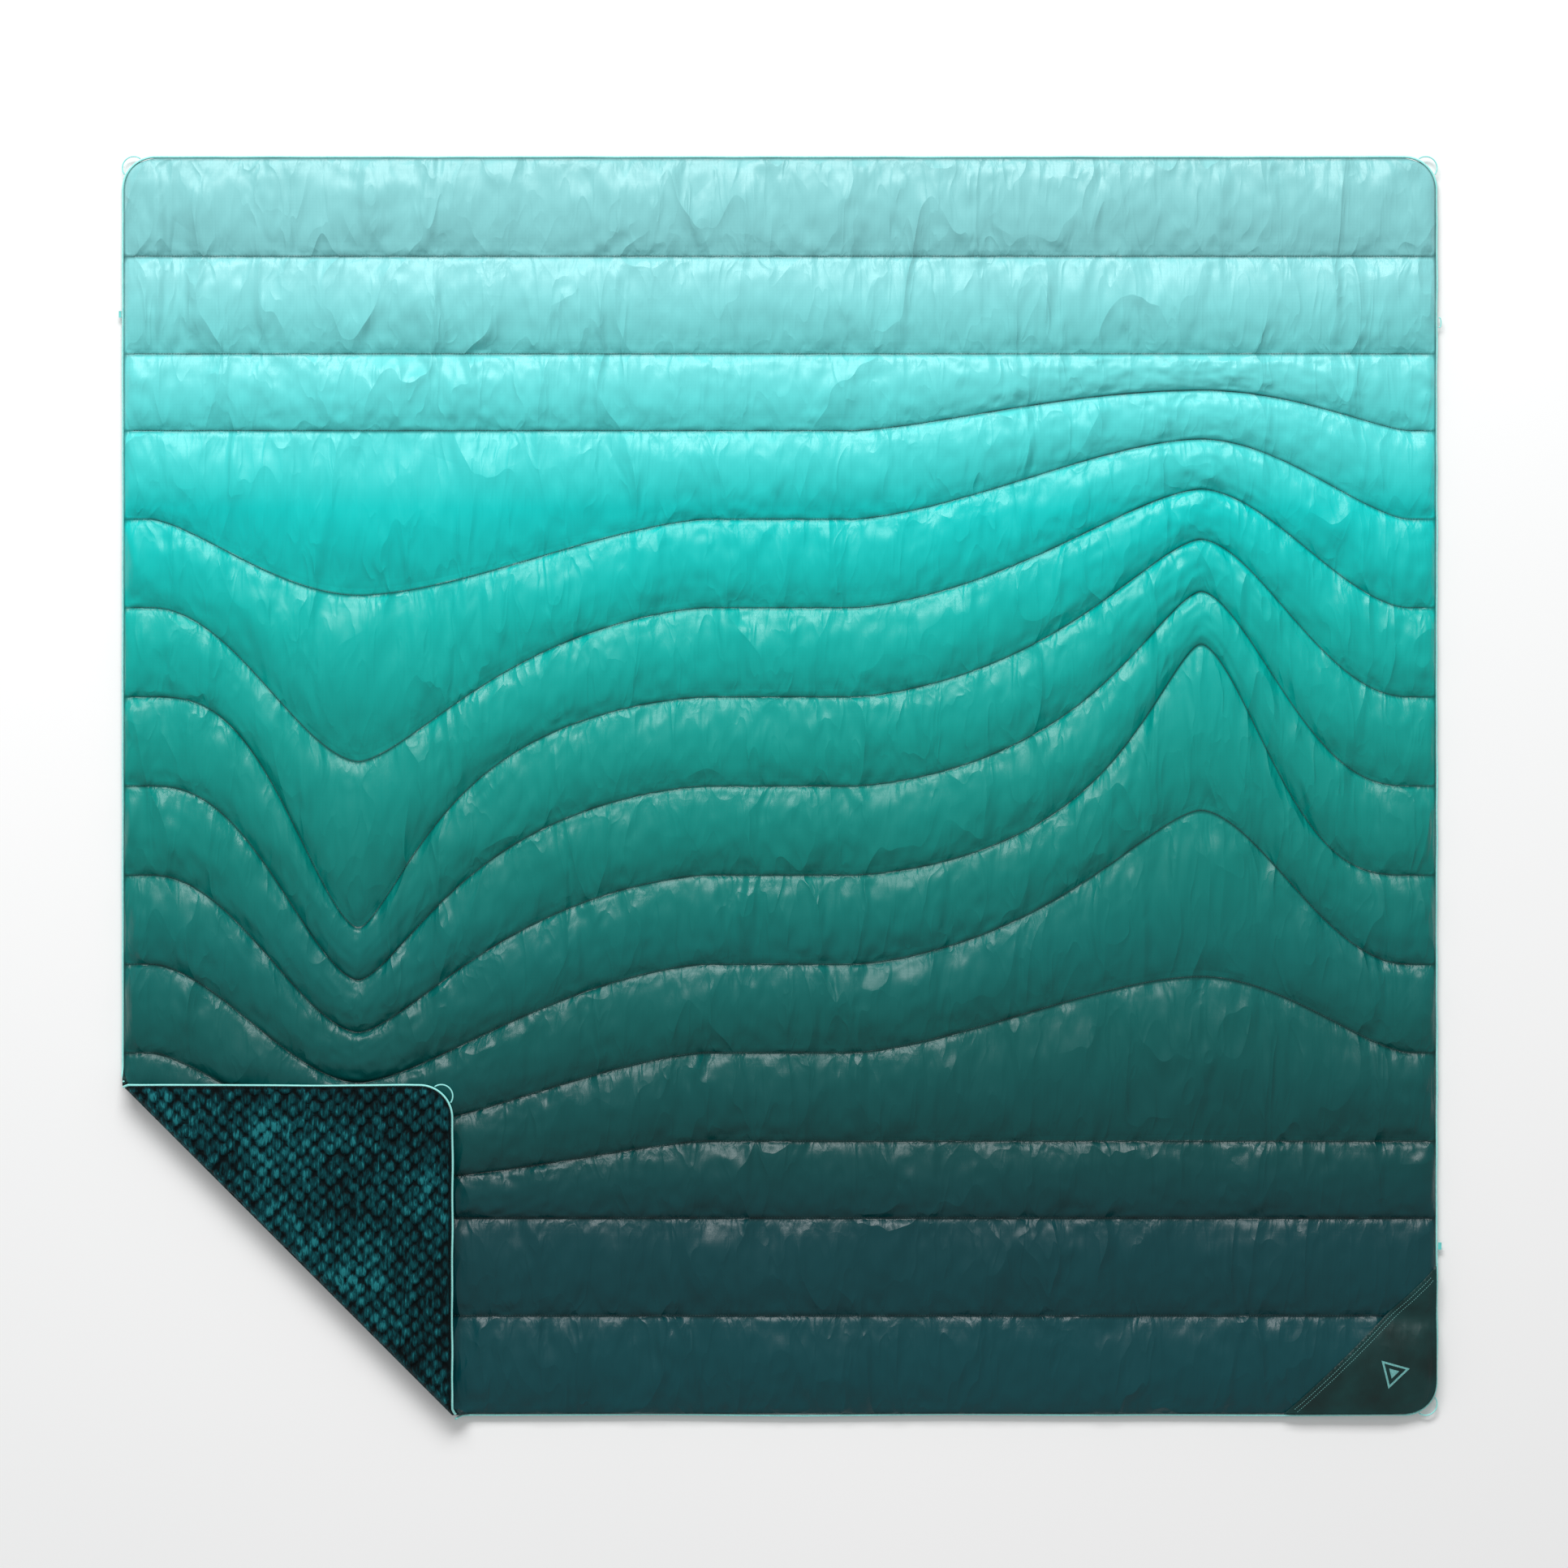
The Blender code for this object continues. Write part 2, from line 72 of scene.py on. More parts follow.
class Slot(Enum):
    """The finishes that the blanket's parts take."""

    SHELL = "shell"
    LINING = "lining"
    PIPING = "piping"
    THREAD = "thread"
    CORD = "cord"
    PATCH = "patch"
    TAB = "tab"


# Mesh helpers


def linear(code: str) -> Colour:
    """Read a colour.

    Args:
        code: Six hex digits, in display values.

    Returns:
        Red, green, blue and alpha in linear light.
    """
    shown = [int(code[i:i + 2], 16) / 255 for i in (0, 2, 4)]
    light = [v / 12.92 if v <= 0.04045 else ((v + 0.055) / 1.055) ** 2.4 for v in shown]
    return light[0], light[1], light[2], 1.0


def smoothstep(values: np.ndarray) -> np.ndarray:
    """Ease values from 0 to 1, held flat outside that range.

    Args:
        values: Positions along the change, where 0 is its start and 1 its end.

    Returns:
        The eased share of each position.
    """
    held = np.clip(values, 0.0, 1.0)
    return held * held * (3 - 2 * held)


def capped(heights: np.ndarray, top: float, softness: float) -> np.ndarray:
    """Hold heights under a ceiling, bending smoothly towards it.

    Args:
        heights: The heights, in metres.
        top: The ceiling that they stay under.
        softness: The height over which they bend.

    Returns:
        The held heights.
    """
    return heights - softness * np.logaddexp(0.0, (heights - top) / softness)


def alone(piece: bpy.types.Object) -> None:
    """Select this object only, and make it active.

    Args:
        piece: The object to work on.
    """
    for other in bpy.context.selected_objects:
        other.select_set(False)
    piece.select_set(True)
    bpy.context.view_layer.objects.active = piece


def nothing_selected() -> None:
    """Deselect every object, so that an operator acts on the next one only."""
    for other in bpy.context.selected_objects:
        other.select_set(False)
    bpy.context.view_layer.objects.active = None


def apply_modifiers(piece: bpy.types.Object) -> None:
    """Apply an object's modifiers in their order.

    Args:
        piece: The object whose modifiers become its mesh.
    """
    alone(piece)
    for modifier in list(piece.modifiers):
        bpy.ops.object.modifier_apply(modifier=modifier.name)


def apply_place(piece: bpy.types.Object) -> None:
    """Move an object's place into its mesh.

    Args:
        piece: The object to leave at the origin.
    """
    alone(piece)
    bpy.ops.object.transform_apply(location=True, rotation=True, scale=True)


def mesh_object(name: str, points: np.ndarray, faces: Sequence[Sequence[int]]) -> bpy.types.Object:
    """Make an object from points and faces.

    Args:
        name: The object's name.
        points: One row of x, y and z for each point.
        faces: The point numbers of each face.

    Returns:
        The new object, shaded smooth.
    """
    mesh = bpy.data.meshes.new(name)
    mesh.from_pydata(np.asarray(points).tolist(), [], [[int(number) for number in face] for face in faces])
    mesh.shade_smooth()
    piece = bpy.data.objects.new(name, mesh)
    bpy.context.scene.collection.objects.link(piece)
    return piece


def points_of(piece: bpy.types.Object) -> np.ndarray:
    """Read an object's own mesh points.

    Args:
        piece: A mesh object.

    Returns:
        One row of x, y and z for each point.
    """
    flat = np.empty(len(piece.data.vertices) * 3, np.float32)
    piece.data.vertices.foreach_get("co", flat)
    return flat.reshape(-1, 3).astype(float)


def move_points(piece: bpy.types.Object, points: np.ndarray) -> None:
    """Write an object's mesh points.

    Args:
        piece: A mesh object.
        points: One row of x, y and z for each of its points.
    """
    piece.data.vertices.foreach_set("co", points.astype(np.float32).ravel())
    piece.data.update()


def grid_quads(down: int, across: int) -> np.ndarray:
    """Number the faces of a grid of points whose rows run from +Y to -Y, so that they face up.

    Args:
        down: How many rows of points there are.
        across: How many points there are in a row.

    Returns:
        Four point numbers for each face.
    """
    number = np.arange(down * across).reshape(down, across)
    corners = (number[1:, :-1], number[1:, 1:], number[:-1, 1:], number[:-1, :-1])
    return np.stack(corners, -1).reshape(-1, 4)


def tube(name: str, path: Sequence[Sequence[float]], diameter: float, sides: int = 12) -> bpy.types.Object:
    """Make a round tube with closed ends.

    Args:
        name: The object's name.
        path: The points of its centre line.
        diameter: Its thickness.
        sides: How many faces go round it, an even number.

    Returns:
        The tube as a mesh object.
    """
    curve = bpy.data.curves.new(name, "CURVE")
    curve.dimensions = "3D"
    curve.bevel_depth = diameter / 2
    curve.bevel_resolution = sides // 2 - 2
    curve.use_fill_caps = True
    spline = curve.splines.new("POLY")
    spline.points.add(len(path) - 1)
    for point, place in zip(spline.points, path):
        point.co = (*place, 1.0)
    piece = bpy.data.objects.new(name, curve)
    bpy.context.scene.collection.objects.link(piece)
    alone(piece)
    bpy.ops.object.convert(target="MESH")
    bpy.ops.object.mode_set(mode="EDIT")
    bpy.ops.mesh.select_all(action="SELECT")
    bpy.ops.mesh.remove_doubles(threshold=1e-6)
    bpy.ops.mesh.normals_make_consistent(inside=False)
    bpy.ops.object.mode_set(mode="OBJECT")
    piece.data.shade_smooth()
    return piece


def close_below(piece: bpy.types.Object, steps: Sequence[Callable[[Vector], Vector]],
                bends: Sequence[tuple[Vector, Vector]]) -> None:
    """Give an open sheet walls down from its border and an underside of flat faces.

    Args:
        piece: The sheet.
        steps: For each ring of wall, where a point of the ring before it goes.
        bends: A point on each upright plane where the underside bends, and that plane's normal.
    """
    work = bmesh.new()
    work.from_mesh(piece.data)
    rim = [edge for edge in work.edges if edge.is_boundary]
    for step in steps:
        made = bmesh.ops.extrude_edge_only(work, edges=rim)["geom"]
        for point in (part for part in made if isinstance(part, bmesh.types.BMVert)):
            point.co = step(point.co)
        rim = [part for part in made if isinstance(part, bmesh.types.BMEdge) and part.is_boundary]
    under = bmesh.ops.edgeloop_fill(work, edges=rim)["faces"]
    for place, normal in bends:
        parts = {part for face in under for part in (face, *face.edges, *face.verts)}
        cut = bmesh.ops.bisect_plane(
            work, geom=list(parts), dist=1e-7, plane_co=place, plane_no=normal)["geom"]
        under = [part for part in cut if isinstance(part, bmesh.types.BMFace)]
    bmesh.ops.recalc_face_normals(work, faces=work.faces)
    for face in work.faces:
        face.smooth = len(face.verts) <= 4
    work.to_mesh(piece.data)
    work.free()


# The blanket's layout


@dataclass(frozen=True)
class Outline:
    """The blanket's edge: a rectangle with rounded corners, lying flat."""

    half_length: float
    half_width: float
    corner_radius: float = 0.052
    arc_steps: int = 20

    def ring(self, inset: float) -> list[Vector]:
        """Walk round the edge, counter-clockwise from the lower right corner.

        Args:
            inset: How far inside the edge to walk.

        Returns:
            The points on the way.
        """
        radius = self.corner_radius - inset
        points = []
        for sign_x, sign_y, start in ((1, -1, -90), (1, 1, 0), (-1, 1, 90), (-1, -1, 180)):
            centre = self.corner_centre(sign_x, sign_y)
            for step in range(self.arc_steps + 1):
                angle = math.radians(start + 90 * step / self.arc_steps)
                points.append(centre + radius * Vector((math.cos(angle), math.sin(angle))))
        return points

    def corner_centre(self, sign_x: int, sign_y: int) -> Vector:
        """Give the centre of a corner's arc.

        Args:
            sign_x: 1 for the right side and -1 for the left.
            sign_y: 1 for the upper side and -1 for the lower.

        Returns:
            The centre, as x and y.
        """
        radius = self.corner_radius
        return Vector((sign_x * (self.half_length - radius), sign_y * (self.half_width - radius)))

    def reach_at(self, y: np.ndarray, inset: float) -> np.ndarray:
        """Find how far the edge is from the middle line at some heights up the blanket.

        Args:
            y: The places along Y.
            inset: How far inside the edge to measure.

        Returns:
            The x of the right edge at each place.
        """
        radius = self.corner_radius - inset
        into = np.clip(np.abs(y) - (self.half_width - self.corner_radius), 0.0, radius)
        return self.half_length - self.corner_radius + np.sqrt(radius ** 2 - into ** 2)

    def drawn_in(self, x: np.ndarray, y: np.ndarray, inset: float, depth: float = 0.11) -> np.ndarray:
        """Pull points of a rectangular grid in where the corners are rounded.

        Args:
            x: The grid's x.
            y: The grid's y.
            inset: How far inside the edge the grid ends.
            depth: How far in from the side edges points may move.

        Returns:
            The new x of each point.
        """
        full = self.half_length - inset
        share = (self.reach_at(y, inset) - (full - depth)) / depth
        beyond = np.clip(np.abs(x) - (full - depth), 0.0, depth)
        return np.sign(x) * (np.abs(x) - beyond + beyond * share)


@dataclass(frozen=True)
class FoldLine:
    """The line that the lower left corner is folded over on, and the height of the fold's middle."""

    middle: Vector
    roll_radius: float = 0.024

    @property
    def total(self) -> float:
        """What x and y add up to on the line."""
        return self.middle.x + self.middle.y

    @property
    def height(self) -> float:
        """The height of the plane that both parts touch when folded."""
        return self.middle.z

    def beyond(self, x: np.ndarray, y: np.ndarray) -> np.ndarray:
        """Measure how far points lie beyond the line, towards the corner.

        Args:
            x: The points' x.
            y: The points' y.

        Returns:
            The distances, negative on the main part.
        """
        return (self.total - x - y) / math.sqrt(2)

    def turned(self, points: np.ndarray) -> np.ndarray:
        """Turn points over on the line, by half a turn.

        Args:
            points: One row of x, y and z for each point.

        Returns:
            The turned points.
        """
        x, y, z = points[:, 0], points[:, 1], points[:, 2]
        return np.stack([self.total - y, self.total - x, 2 * self.height - z], -1)

    def turn_over(self, piece: bpy.types.Object) -> None:
        """Turn a piece over on the line.

        Args:
            piece: A mesh object made lying flat.
        """
        move_points(piece, self.turned(points_of(piece)))


@dataclass(frozen=True)
class Quilting:
    """The seams. Each runs at a level from the middle and rises by its own amount at the hill.

    The valley on the left is the same hill turned half round about the blanket's middle.
    """

    outline: Outline
    inset: float = 0.004
    levels: tuple[float, ...] = (0.814, 0.664, 0.546, 0.410, 0.274, 0.137, 0.0)
    first_risen: int = 3
    rises: tuple[float, ...] = (0.062, 0.123, 0.182, 0.242, 0.299, 0.356, 0.237, 0.117)
    hill_x: float = 0.647
    hill_left: float = 0.536
    hill_right: float = 0.319
    left_power: float = 1.5
    left_pinch: float = 6.6
    right_power: float = 1.3
    right_sharpening: float = 1.7
    right_pinch: float = 1.9
    pinch_power: float = 1.5

    @property
    def channels(self) -> int:
        """How many channels there are between the seams and the edges."""
        return 2 * len(self.levels)

    def rise(self, number: int) -> float:
        """Give how far a seam rises at the hill.

        Args:
            number: The seam, counted from the upper edge.

        Returns:
            The rise, 0 where the seam stays straight.
        """
        place = number - self.first_risen
        return self.rises[place] if 0 <= place < len(self.rises) else 0.0

    def hill(self, x: np.ndarray, rise: float) -> np.ndarray:
        """Find how far a seam is lifted along its length.

        Args:
            x: The places along the seam.
            rise: How far it is lifted at the top of the hill.

        Returns:
            The lift at each place.
        """
        share = rise / max(self.rises)
        left = x < self.hill_x
        reach = np.where(left, (self.hill_x - x) / self.hill_left, (x - self.hill_x) / self.hill_right)
        power = np.where(left, self.left_power, self.right_power + self.right_sharpening * share ** 2)
        pinch = np.where(left, self.left_pinch, self.right_pinch) * share ** 2
        held = np.clip(reach, 0.0, 1.0)
        return rise * (1 - held ** 2) ** power / (1 + pinch * held ** self.pinch_power)

    def seam(self, number: int, x: np.ndarray) -> np.ndarray:
        """Find where a seam runs. The first and the last number are the quilted area's own edges.

        Args:
            number: The seam, counted from the upper edge.
            x: The places along it.

        Returns:
            Its y at each place.
        """
        last = self.channels
        if number in (0, last):
            edge = self.outline.half_width - self.inset
            return np.full_like(x, edge if number == 0 else -edge)
        middle = last // 2
        level = self.levels[number - 1] if number <= middle else -self.levels[last - number - 1]
        return level + self.hill(x, self.rise(number)) - self.hill(-x, self.rise(last - number))


# Finishes


def add_node(tree: bpy.types.NodeTree, kind: str, inputs: dict | None = None,
             **settings: object) -> bpy.types.Node:
    """Add a shader node.

    Args:
        tree: The node tree to add it to.
        kind: The node's type, without the word ShaderNode in front.
        inputs: For each input's name or number, a value or the output socket that feeds it.
        **settings: The node's own settings.

    Returns:
        The new node.
    """
    node = tree.nodes.new("ShaderNode" + kind)
    for key, value in settings.items():
        setattr(node, key, value)
    for key, value in (inputs or {}).items():
        if isinstance(value, bpy.types.NodeSocket):
            tree.links.new(value, node.inputs[key])
        else:
            node.inputs[key].default_value = value
    return node


def add_math(tree: bpy.types.NodeTree, operation: str, *terms: object) -> bpy.types.NodeSocket:
    """Add a Math node.

    Args:
        tree: The node tree to add it to.
        operation: What it works out.
        *terms: Its inputs, each a number or the output socket that feeds it.

    Returns:
        The node's output.
    """
    return add_node(tree, "Math", dict(enumerate(terms)), operation=operation).outputs[0]


def add_ramp(tree: bpy.types.NodeTree, share: bpy.types.NodeSocket,
             stops: Sequence[tuple[float, str]]) -> bpy.types.NodeSocket:
    """Add a colour ramp.

    Args:
        tree: The node tree to add it to.
        share: The output socket that moves along the ramp.
        stops: The place and the colour of each stop.

    Returns:
        The ramp's colour output.
    """
    ramp = add_node(tree, "ValToRGB", {0: share})
    elements = ramp.color_ramp.elements
    elements[0].position, elements[1].position = stops[0][0], stops[-1][0]
    elements[0].color, elements[1].color = linear(stops[0][1]), linear(stops[-1][1])
    for place, code in stops[1:-1]:
        elements.new(place).color = linear(code)
    return ramp.outputs["Color"]


def new_group(name: str, inputs: dict[str, float], outputs: dict[str, str]) -> tuple:
    """Start a shader node group.

    Args:
        name: The group's name.
        inputs: Each number that the group takes, with its usual value.
        outputs: Each thing that it puts out, with its socket type.

    Returns:
        The node tree, its input node and its output node.
    """
    tree = bpy.data.node_groups.new(name, "ShaderNodeTree")
    for label, usual in inputs.items():
        tree.interface.new_socket(label, in_out="INPUT", socket_type="NodeSocketFloat").default_value = usual
    for label, kind in outputs.items():
        tree.interface.new_socket(label, in_out="OUTPUT", socket_type=kind)
    return tree, tree.nodes.new("NodeGroupInput"), tree.nodes.new("NodeGroupOutput")


def weave_group() -> bpy.types.NodeTree:
    """Build the plain weave with its ripstop squares, which all the woven cloth shares.

    Returns:
        A group that takes the thread pitch and the ripstop pitch and puts out a height and a shade.
    """
    tree, given, out = new_group("Weave", {"Thread Pitch": 0.0004, "Ripstop Pitch": 0.005},
                                 {"Height": "NodeSocketFloat", "Shade": "NodeSocketFloat"})
    place = add_node(tree, "TexCoord").outputs["Object"]
    axes = add_node(tree, "SeparateXYZ", {0: place})
    waves, squares = [], []
    for axis in ("X", "Y"):
        turns = add_math(tree, "DIVIDE", axes.outputs[axis], given.outputs["Thread Pitch"])
        waves.append(add_math(tree, "SINE", add_math(tree, "MULTIPLY", turns, math.tau)))
        cell = add_math(tree, "DIVIDE", axes.outputs[axis], given.outputs["Ripstop Pitch"])
        spread = add_math(tree, "ABSOLUTE", add_math(tree, "SINE", add_math(tree, "MULTIPLY", cell, math.pi)))
        squares.append(add_math(tree, "LESS_THAN", spread, 0.12))
    cloth = add_math(tree, "MULTIPLY", waves[0], waves[1])
    rib = add_math(tree, "MAXIMUM", squares[0], squares[1])
    height = add_math(tree, "ADD", add_math(tree, "MULTIPLY", cloth, 0.35), rib)
    tree.links.new(height, out.inputs["Height"])
    tree.links.new(
        add_math(tree, "SUBTRACT", 1.0, add_math(tree, "MULTIPLY", rib, 0.05)), out.inputs["Shade"])
    return tree


def crinkle_group() -> bpy.types.NodeTree:
    """Build the creases of thin coated cloth. They lean one way or the other from place to place.

    Returns:
        A group that takes a scale and a sharpness and puts out a height between 0 and 1.
    """
    tree, given, out = new_group("Crinkle", {"Scale": 26.0, "Sharpness": 2.0}, {"Height": "NodeSocketFloat"})
    place = add_node(tree, "TexCoord").outputs["Object"]
    leans = []
    for degrees in (-48.0, 52.0):
        turned = add_node(tree, "Mapping", {0: place, "Rotation": (0.0, 0.0, math.radians(degrees)),
                                            "Scale": (1.0, 0.28, 1.0)})
        noise = add_node(tree, "TexNoise", {"Vector": turned.outputs[0], "Scale": given.outputs["Scale"],
                                            "Detail": 2.0, "Roughness": 0.4, "Distortion": 0.5})
        ridge = add_math(tree, "ABSOLUTE", add_math(tree, "SUBTRACT", noise.outputs["Fac"], 0.5))
        held = add_math(tree, "SUBTRACT", 1.0, add_math(tree, "MULTIPLY", ridge, 4.5))
        leans.append(
            add_math(tree, "POWER", add_math(tree, "MAXIMUM", held, 0.0), given.outputs["Sharpness"]))
    cloud = add_node(tree, "TexNoise", {"Vector": place, "Scale": 2.3, "Detail": 1.0}).outputs["Fac"]
    choice = add_node(tree, "MapRange", {0: cloud, 1: 0.42, 2: 0.58}).outputs[0]
    first = add_math(tree, "MULTIPLY", leans[0], choice)
    second = add_math(tree, "MULTIPLY", leans[1], add_math(tree, "SUBTRACT", 1.0, choice))
    tree.links.new(add_math(tree, "ADD", first, second), out.inputs["Height"])
    return tree


def fibre_group() -> bpy.types.NodeTree:
    """Build the strands of pile, thread and cord.

    Returns:
        A group that takes a scale, a lean in radians and a stretch, and puts out a strand height.
    """
    tree, given, out = new_group(
        "Fibre", {"Scale": 300.0, "Lean": 0.8, "Stretch": 0.15}, {"Height": "NodeSocketFloat"})
    place = add_node(tree, "TexCoord").outputs["Object"]
    lean = add_node(tree, "CombineXYZ", {"Z": given.outputs["Lean"]})
    stretch = add_node(tree, "CombineXYZ", {"X": 1.0, "Y": given.outputs["Stretch"], "Z": 1.0})
    turned = add_node(tree, "Mapping", {0: place, "Rotation": lean.outputs[0], "Scale": stretch.outputs[0]})
    noise = add_node(tree, "TexNoise", {"Vector": turned.outputs[0], "Scale": given.outputs["Scale"],
                                        "Detail": 3.0,
                                        "Roughness": 0.6, "Distortion": 0.4})
    tree.links.new(noise.outputs["Fac"], out.inputs["Height"])
    return tree


@dataclass(frozen=True)
class Effects:
    """The node groups that several finishes share."""

    weave: bpy.types.NodeTree = field(default_factory=weave_group)
    crinkle: bpy.types.NodeTree = field(default_factory=crinkle_group)
    fibre: bpy.types.NodeTree = field(default_factory=fibre_group)

    def place(self, tree: bpy.types.NodeTree, group: bpy.types.NodeTree, **values: float) -> bpy.types.Node:
        """Put a shared group into a material.

        Args:
            tree: The material's node tree.
            group: The group.
            **values: Its numbers, with _ for the spaces in their names.

        Returns:
            The group's node.
        """
        inputs = {label.replace("_", " "): value for label, value in values.items()}
        return add_node(tree, "Group", inputs, node_tree=group)


def new_material(name: str, **constants: float) -> tuple:
    """Start a material.

    Args:
        name: Its name.
        **constants: Values set on the shader itself, with _ for the spaces in their names.

    Returns:
        The material, its node tree and its shader.
    """
    made = bpy.data.materials.new(name)
    made.use_nodes = True
    shader = made.node_tree.nodes["Principled BSDF"]
    for label, value in constants.items():
        shader.inputs[label.replace("_", " ")].default_value = value
    return made, made.node_tree, shader


@dataclass(frozen=True)
class ShellFinish:
    """Glossy thin nylon, dyed from pale aqua at the upper edge to deep green-blue at the lower one."""

    upper: float = 0.969
    lower: float = -0.969
    stops: tuple[tuple[float, str], ...] = (
        (0.0, "81C2C4"), (0.1, "82CFD1"), (0.2, "5BD5D4"), (0.28, "00C5C0"), (0.37, "00B0A6"),
        (0.47, "009388"), (0.56, "007B72"), (0.63, "006B66"), (0.69, "005A56"), (0.745, "004E4D"),
        (0.79, "004646"), (0.85, "003D42"), (1.0, "00444A"))
    roughness: tuple[float, float] = (0.29, 0.40)
    fold_depth: float = 0.012
    crease_depth: float = 0.0019
    pucker_depth: float = 0.0060
    weave_depth: float = 0.00004

    def material(self, effects: Effects) -> bpy.types.Material:
        """Build the material. It reads the dye's level and how gathered the cloth is from the mesh, and
        darkens the gathered cloth at the seams and the side edges as painted shade.

        Args:
            effects: The shared node groups.

        Returns:
            The material.
        """
        made, tree, shader = new_material("shell_nylon", Specular_IOR_Level=0.30)
        place = add_node(tree, "TexCoord").outputs["Object"]
        level = add_node(tree, "Attribute", attribute_name="dye_level").outputs["Fac"]
        share = add_node(tree, "MapRange", {0: level, 1: self.upper, 2: self.lower}).outputs[0]
        gather = add_node(tree, "Attribute", attribute_name="gather").outputs["Fac"]
        weave = effects.place(tree, effects.weave, Thread_Pitch=0.0004, Ripstop_Pitch=0.005)
        shaded = add_node(tree, "Mix", {0: 1.0, 6: add_ramp(tree, share, self.stops),
                                        7: weave.outputs["Shade"]},
                          data_type="RGBA", blend_type="MULTIPLY")
        # Painted shade: the colour is darkened towards grey where the cloth is gathered along the seams and
        # the side edges; sewn is the shaded colour
        painted_seam_shade = add_ramp(tree, gather, ((0.7, "FFFFFF"), (1.0, "8F9C9B")))
        sewn = add_node(tree, "Mix", {0: 1.0, 6: shaded.outputs[2], 7: painted_seam_shade}, data_type="RGBA",
                        blend_type="MULTIPLY")
        tree.links.new(sewn.outputs[2], shader.inputs["Base Color"])
        cloud = add_node(tree, "TexNoise", {"Vector": place, "Scale": 9.0, "Detail": 3.0})
        gloss = add_node(tree, "MapRange", {0: cloud.outputs["Fac"], 1: 0.3, 2: 0.7, 3: self.roughness[0],
                                            4: self.roughness[1]})
        tree.links.new(gloss.outputs[0], shader.inputs["Roughness"])
        tree.links.new(self._creased(tree, effects, gather, weave.outputs["Height"]), shader.inputs["Normal"])
        return made

    def _creased(self, tree: bpy.types.NodeTree, effects: Effects, gather: bpy.types.NodeSocket,
                 weave: bpy.types.NodeSocket) -> bpy.types.NodeSocket:
        """Lay broad folds, small creases, puckers and the weave over one another.

        Args:
            tree: The material's node tree.
            effects: The shared node groups.
            gather: How gathered the cloth is.
            weave: The height of the weave.

        Returns:
            The normal that they make.
        """
        folds = effects.place(tree, effects.crinkle, Scale=10.0, Sharpness=1.3).outputs["Height"]
        creases = effects.place(tree, effects.crinkle, Scale=30.0, Sharpness=1.6).outputs["Height"]
        puckers = effects.place(tree, effects.fibre, Scale=50.0, Lean=0.45, Stretch=0.22).outputs["Height"]
        gathered = add_math(tree, "MULTIPLY", puckers, gather)
        height = add_math(tree, "ADD", add_math(tree, "MULTIPLY", folds, self.fold_depth),
                          add_math(tree, "MULTIPLY", creases, self.crease_depth))
        height = add_math(tree, "ADD", height, add_math(tree, "MULTIPLY", gathered, self.pucker_depth))
        creased = add_node(tree, "Bump", {"Height": height, "Distance": 1.0, "Strength": 0.75})
        woven = add_node(tree, "Bump", {"Height": weave, "Distance": self.weave_depth, "Strength": 0.4,
                                        "Normal": creased.outputs[0]})
        return woven.outputs[0]


@dataclass(frozen=True)
class PileFinish:
    """Deep pile fleece in tufts, with painted highlight at the tips and painted shade, nearly black, in the
    gaps between them.
    """

    # The ramp runs from painted shade in the gaps between tufts to painted highlight at the tips
    stops: tuple[tuple[float, str], ...] = (
        (0.0, "00080A"), (0.30, "001316"), (0.55, "002E33"), (0.80, "074A50"), (1.0, "1E757B"))
    strand_share: float = 0.85
    strand_depth: float = 0.0022

    def material(self, effects: Effects) -> bpy.types.Material:
        """Build the material. It reads the tuft height that the mesh holds at each point, which darkens the
        gaps as painted shade and lightens the tips as painted highlight.

        Args:
            effects: The shared node groups.

        Returns:
            The material.
        """
        made, tree, shader = new_material("pile_fleece", Roughness=0.78, Sheen_Weight=0.06,
                                          Sheen_Roughness=0.4,
                                          Specular_IOR_Level=0.1)
        tuft = add_node(tree, "Attribute", attribute_name="tuft").outputs["Fac"]
        strands = effects.place(tree, effects.fibre, Scale=290.0, Lean=-0.65, Stretch=0.2).outputs["Height"]
        spread = add_math(tree, "MULTIPLY", add_math(tree, "SUBTRACT", strands, 0.5), 1.9)
        place = add_node(tree, "TexCoord").outputs["Object"]
        cloud = add_node(tree, "TexNoise", {"Vector": place, "Scale": 11.0, "Detail": 2.0}).outputs["Fac"]
        level = add_math(tree, "MULTIPLY", add_math(tree, "SUBTRACT", cloud, 0.47), 0.8)
        # Painted shade and highlight: the tuft height moves the colour from near black in the gaps to bright
        # at the tips; the cloud adds uneven tone
        tuft_shade_and_cloud = add_math(tree, "ADD", add_math(tree, "MULTIPLY", tuft, 0.85), level)
        shaded_pile_tone = add_math(tree, "ADD", tuft_shade_and_cloud, add_math(tree, "MULTIPLY", spread, self.strand_share))
        tree.links.new(add_ramp(tree, shaded_pile_tone, self.stops), shader.inputs["Base Color"])
        bump = add_node(tree, "Bump", {"Height": strands, "Distance": self.strand_depth, "Strength": 0.9})
        tree.links.new(bump.outputs[0], shader.inputs["Normal"])
        return made


@dataclass(frozen=True)
class StrandFinish:
    """Plain dyed strands: piping, cord, thread and woven tape."""

    name: str
    dark: str
    light: str
    scale: float
    roughness: float = 0.5
    depth: float = 0.0003

    def material(self, effects: Effects) -> bpy.types.Material:
        """Build the material.

        Args:
            effects: The shared node groups.

        Returns:
            The material.
        """
        made, tree, shader = new_material(self.name, Roughness=self.roughness, Sheen_Weight=0.15)
        strands = effects.place(
            tree, effects.fibre, Scale=self.scale, Lean=0.6, Stretch=0.3).outputs["Height"]
        colour = add_ramp(tree, strands, ((0.3, self.dark), (0.7, self.light)))
        tree.links.new(colour, shader.inputs["Base Color"])
        bump = add_node(tree, "Bump", {"Height": strands, "Distance": self.depth, "Strength": 0.6})
        tree.links.new(bump.outputs[0], shader.inputs["Normal"])
        return made


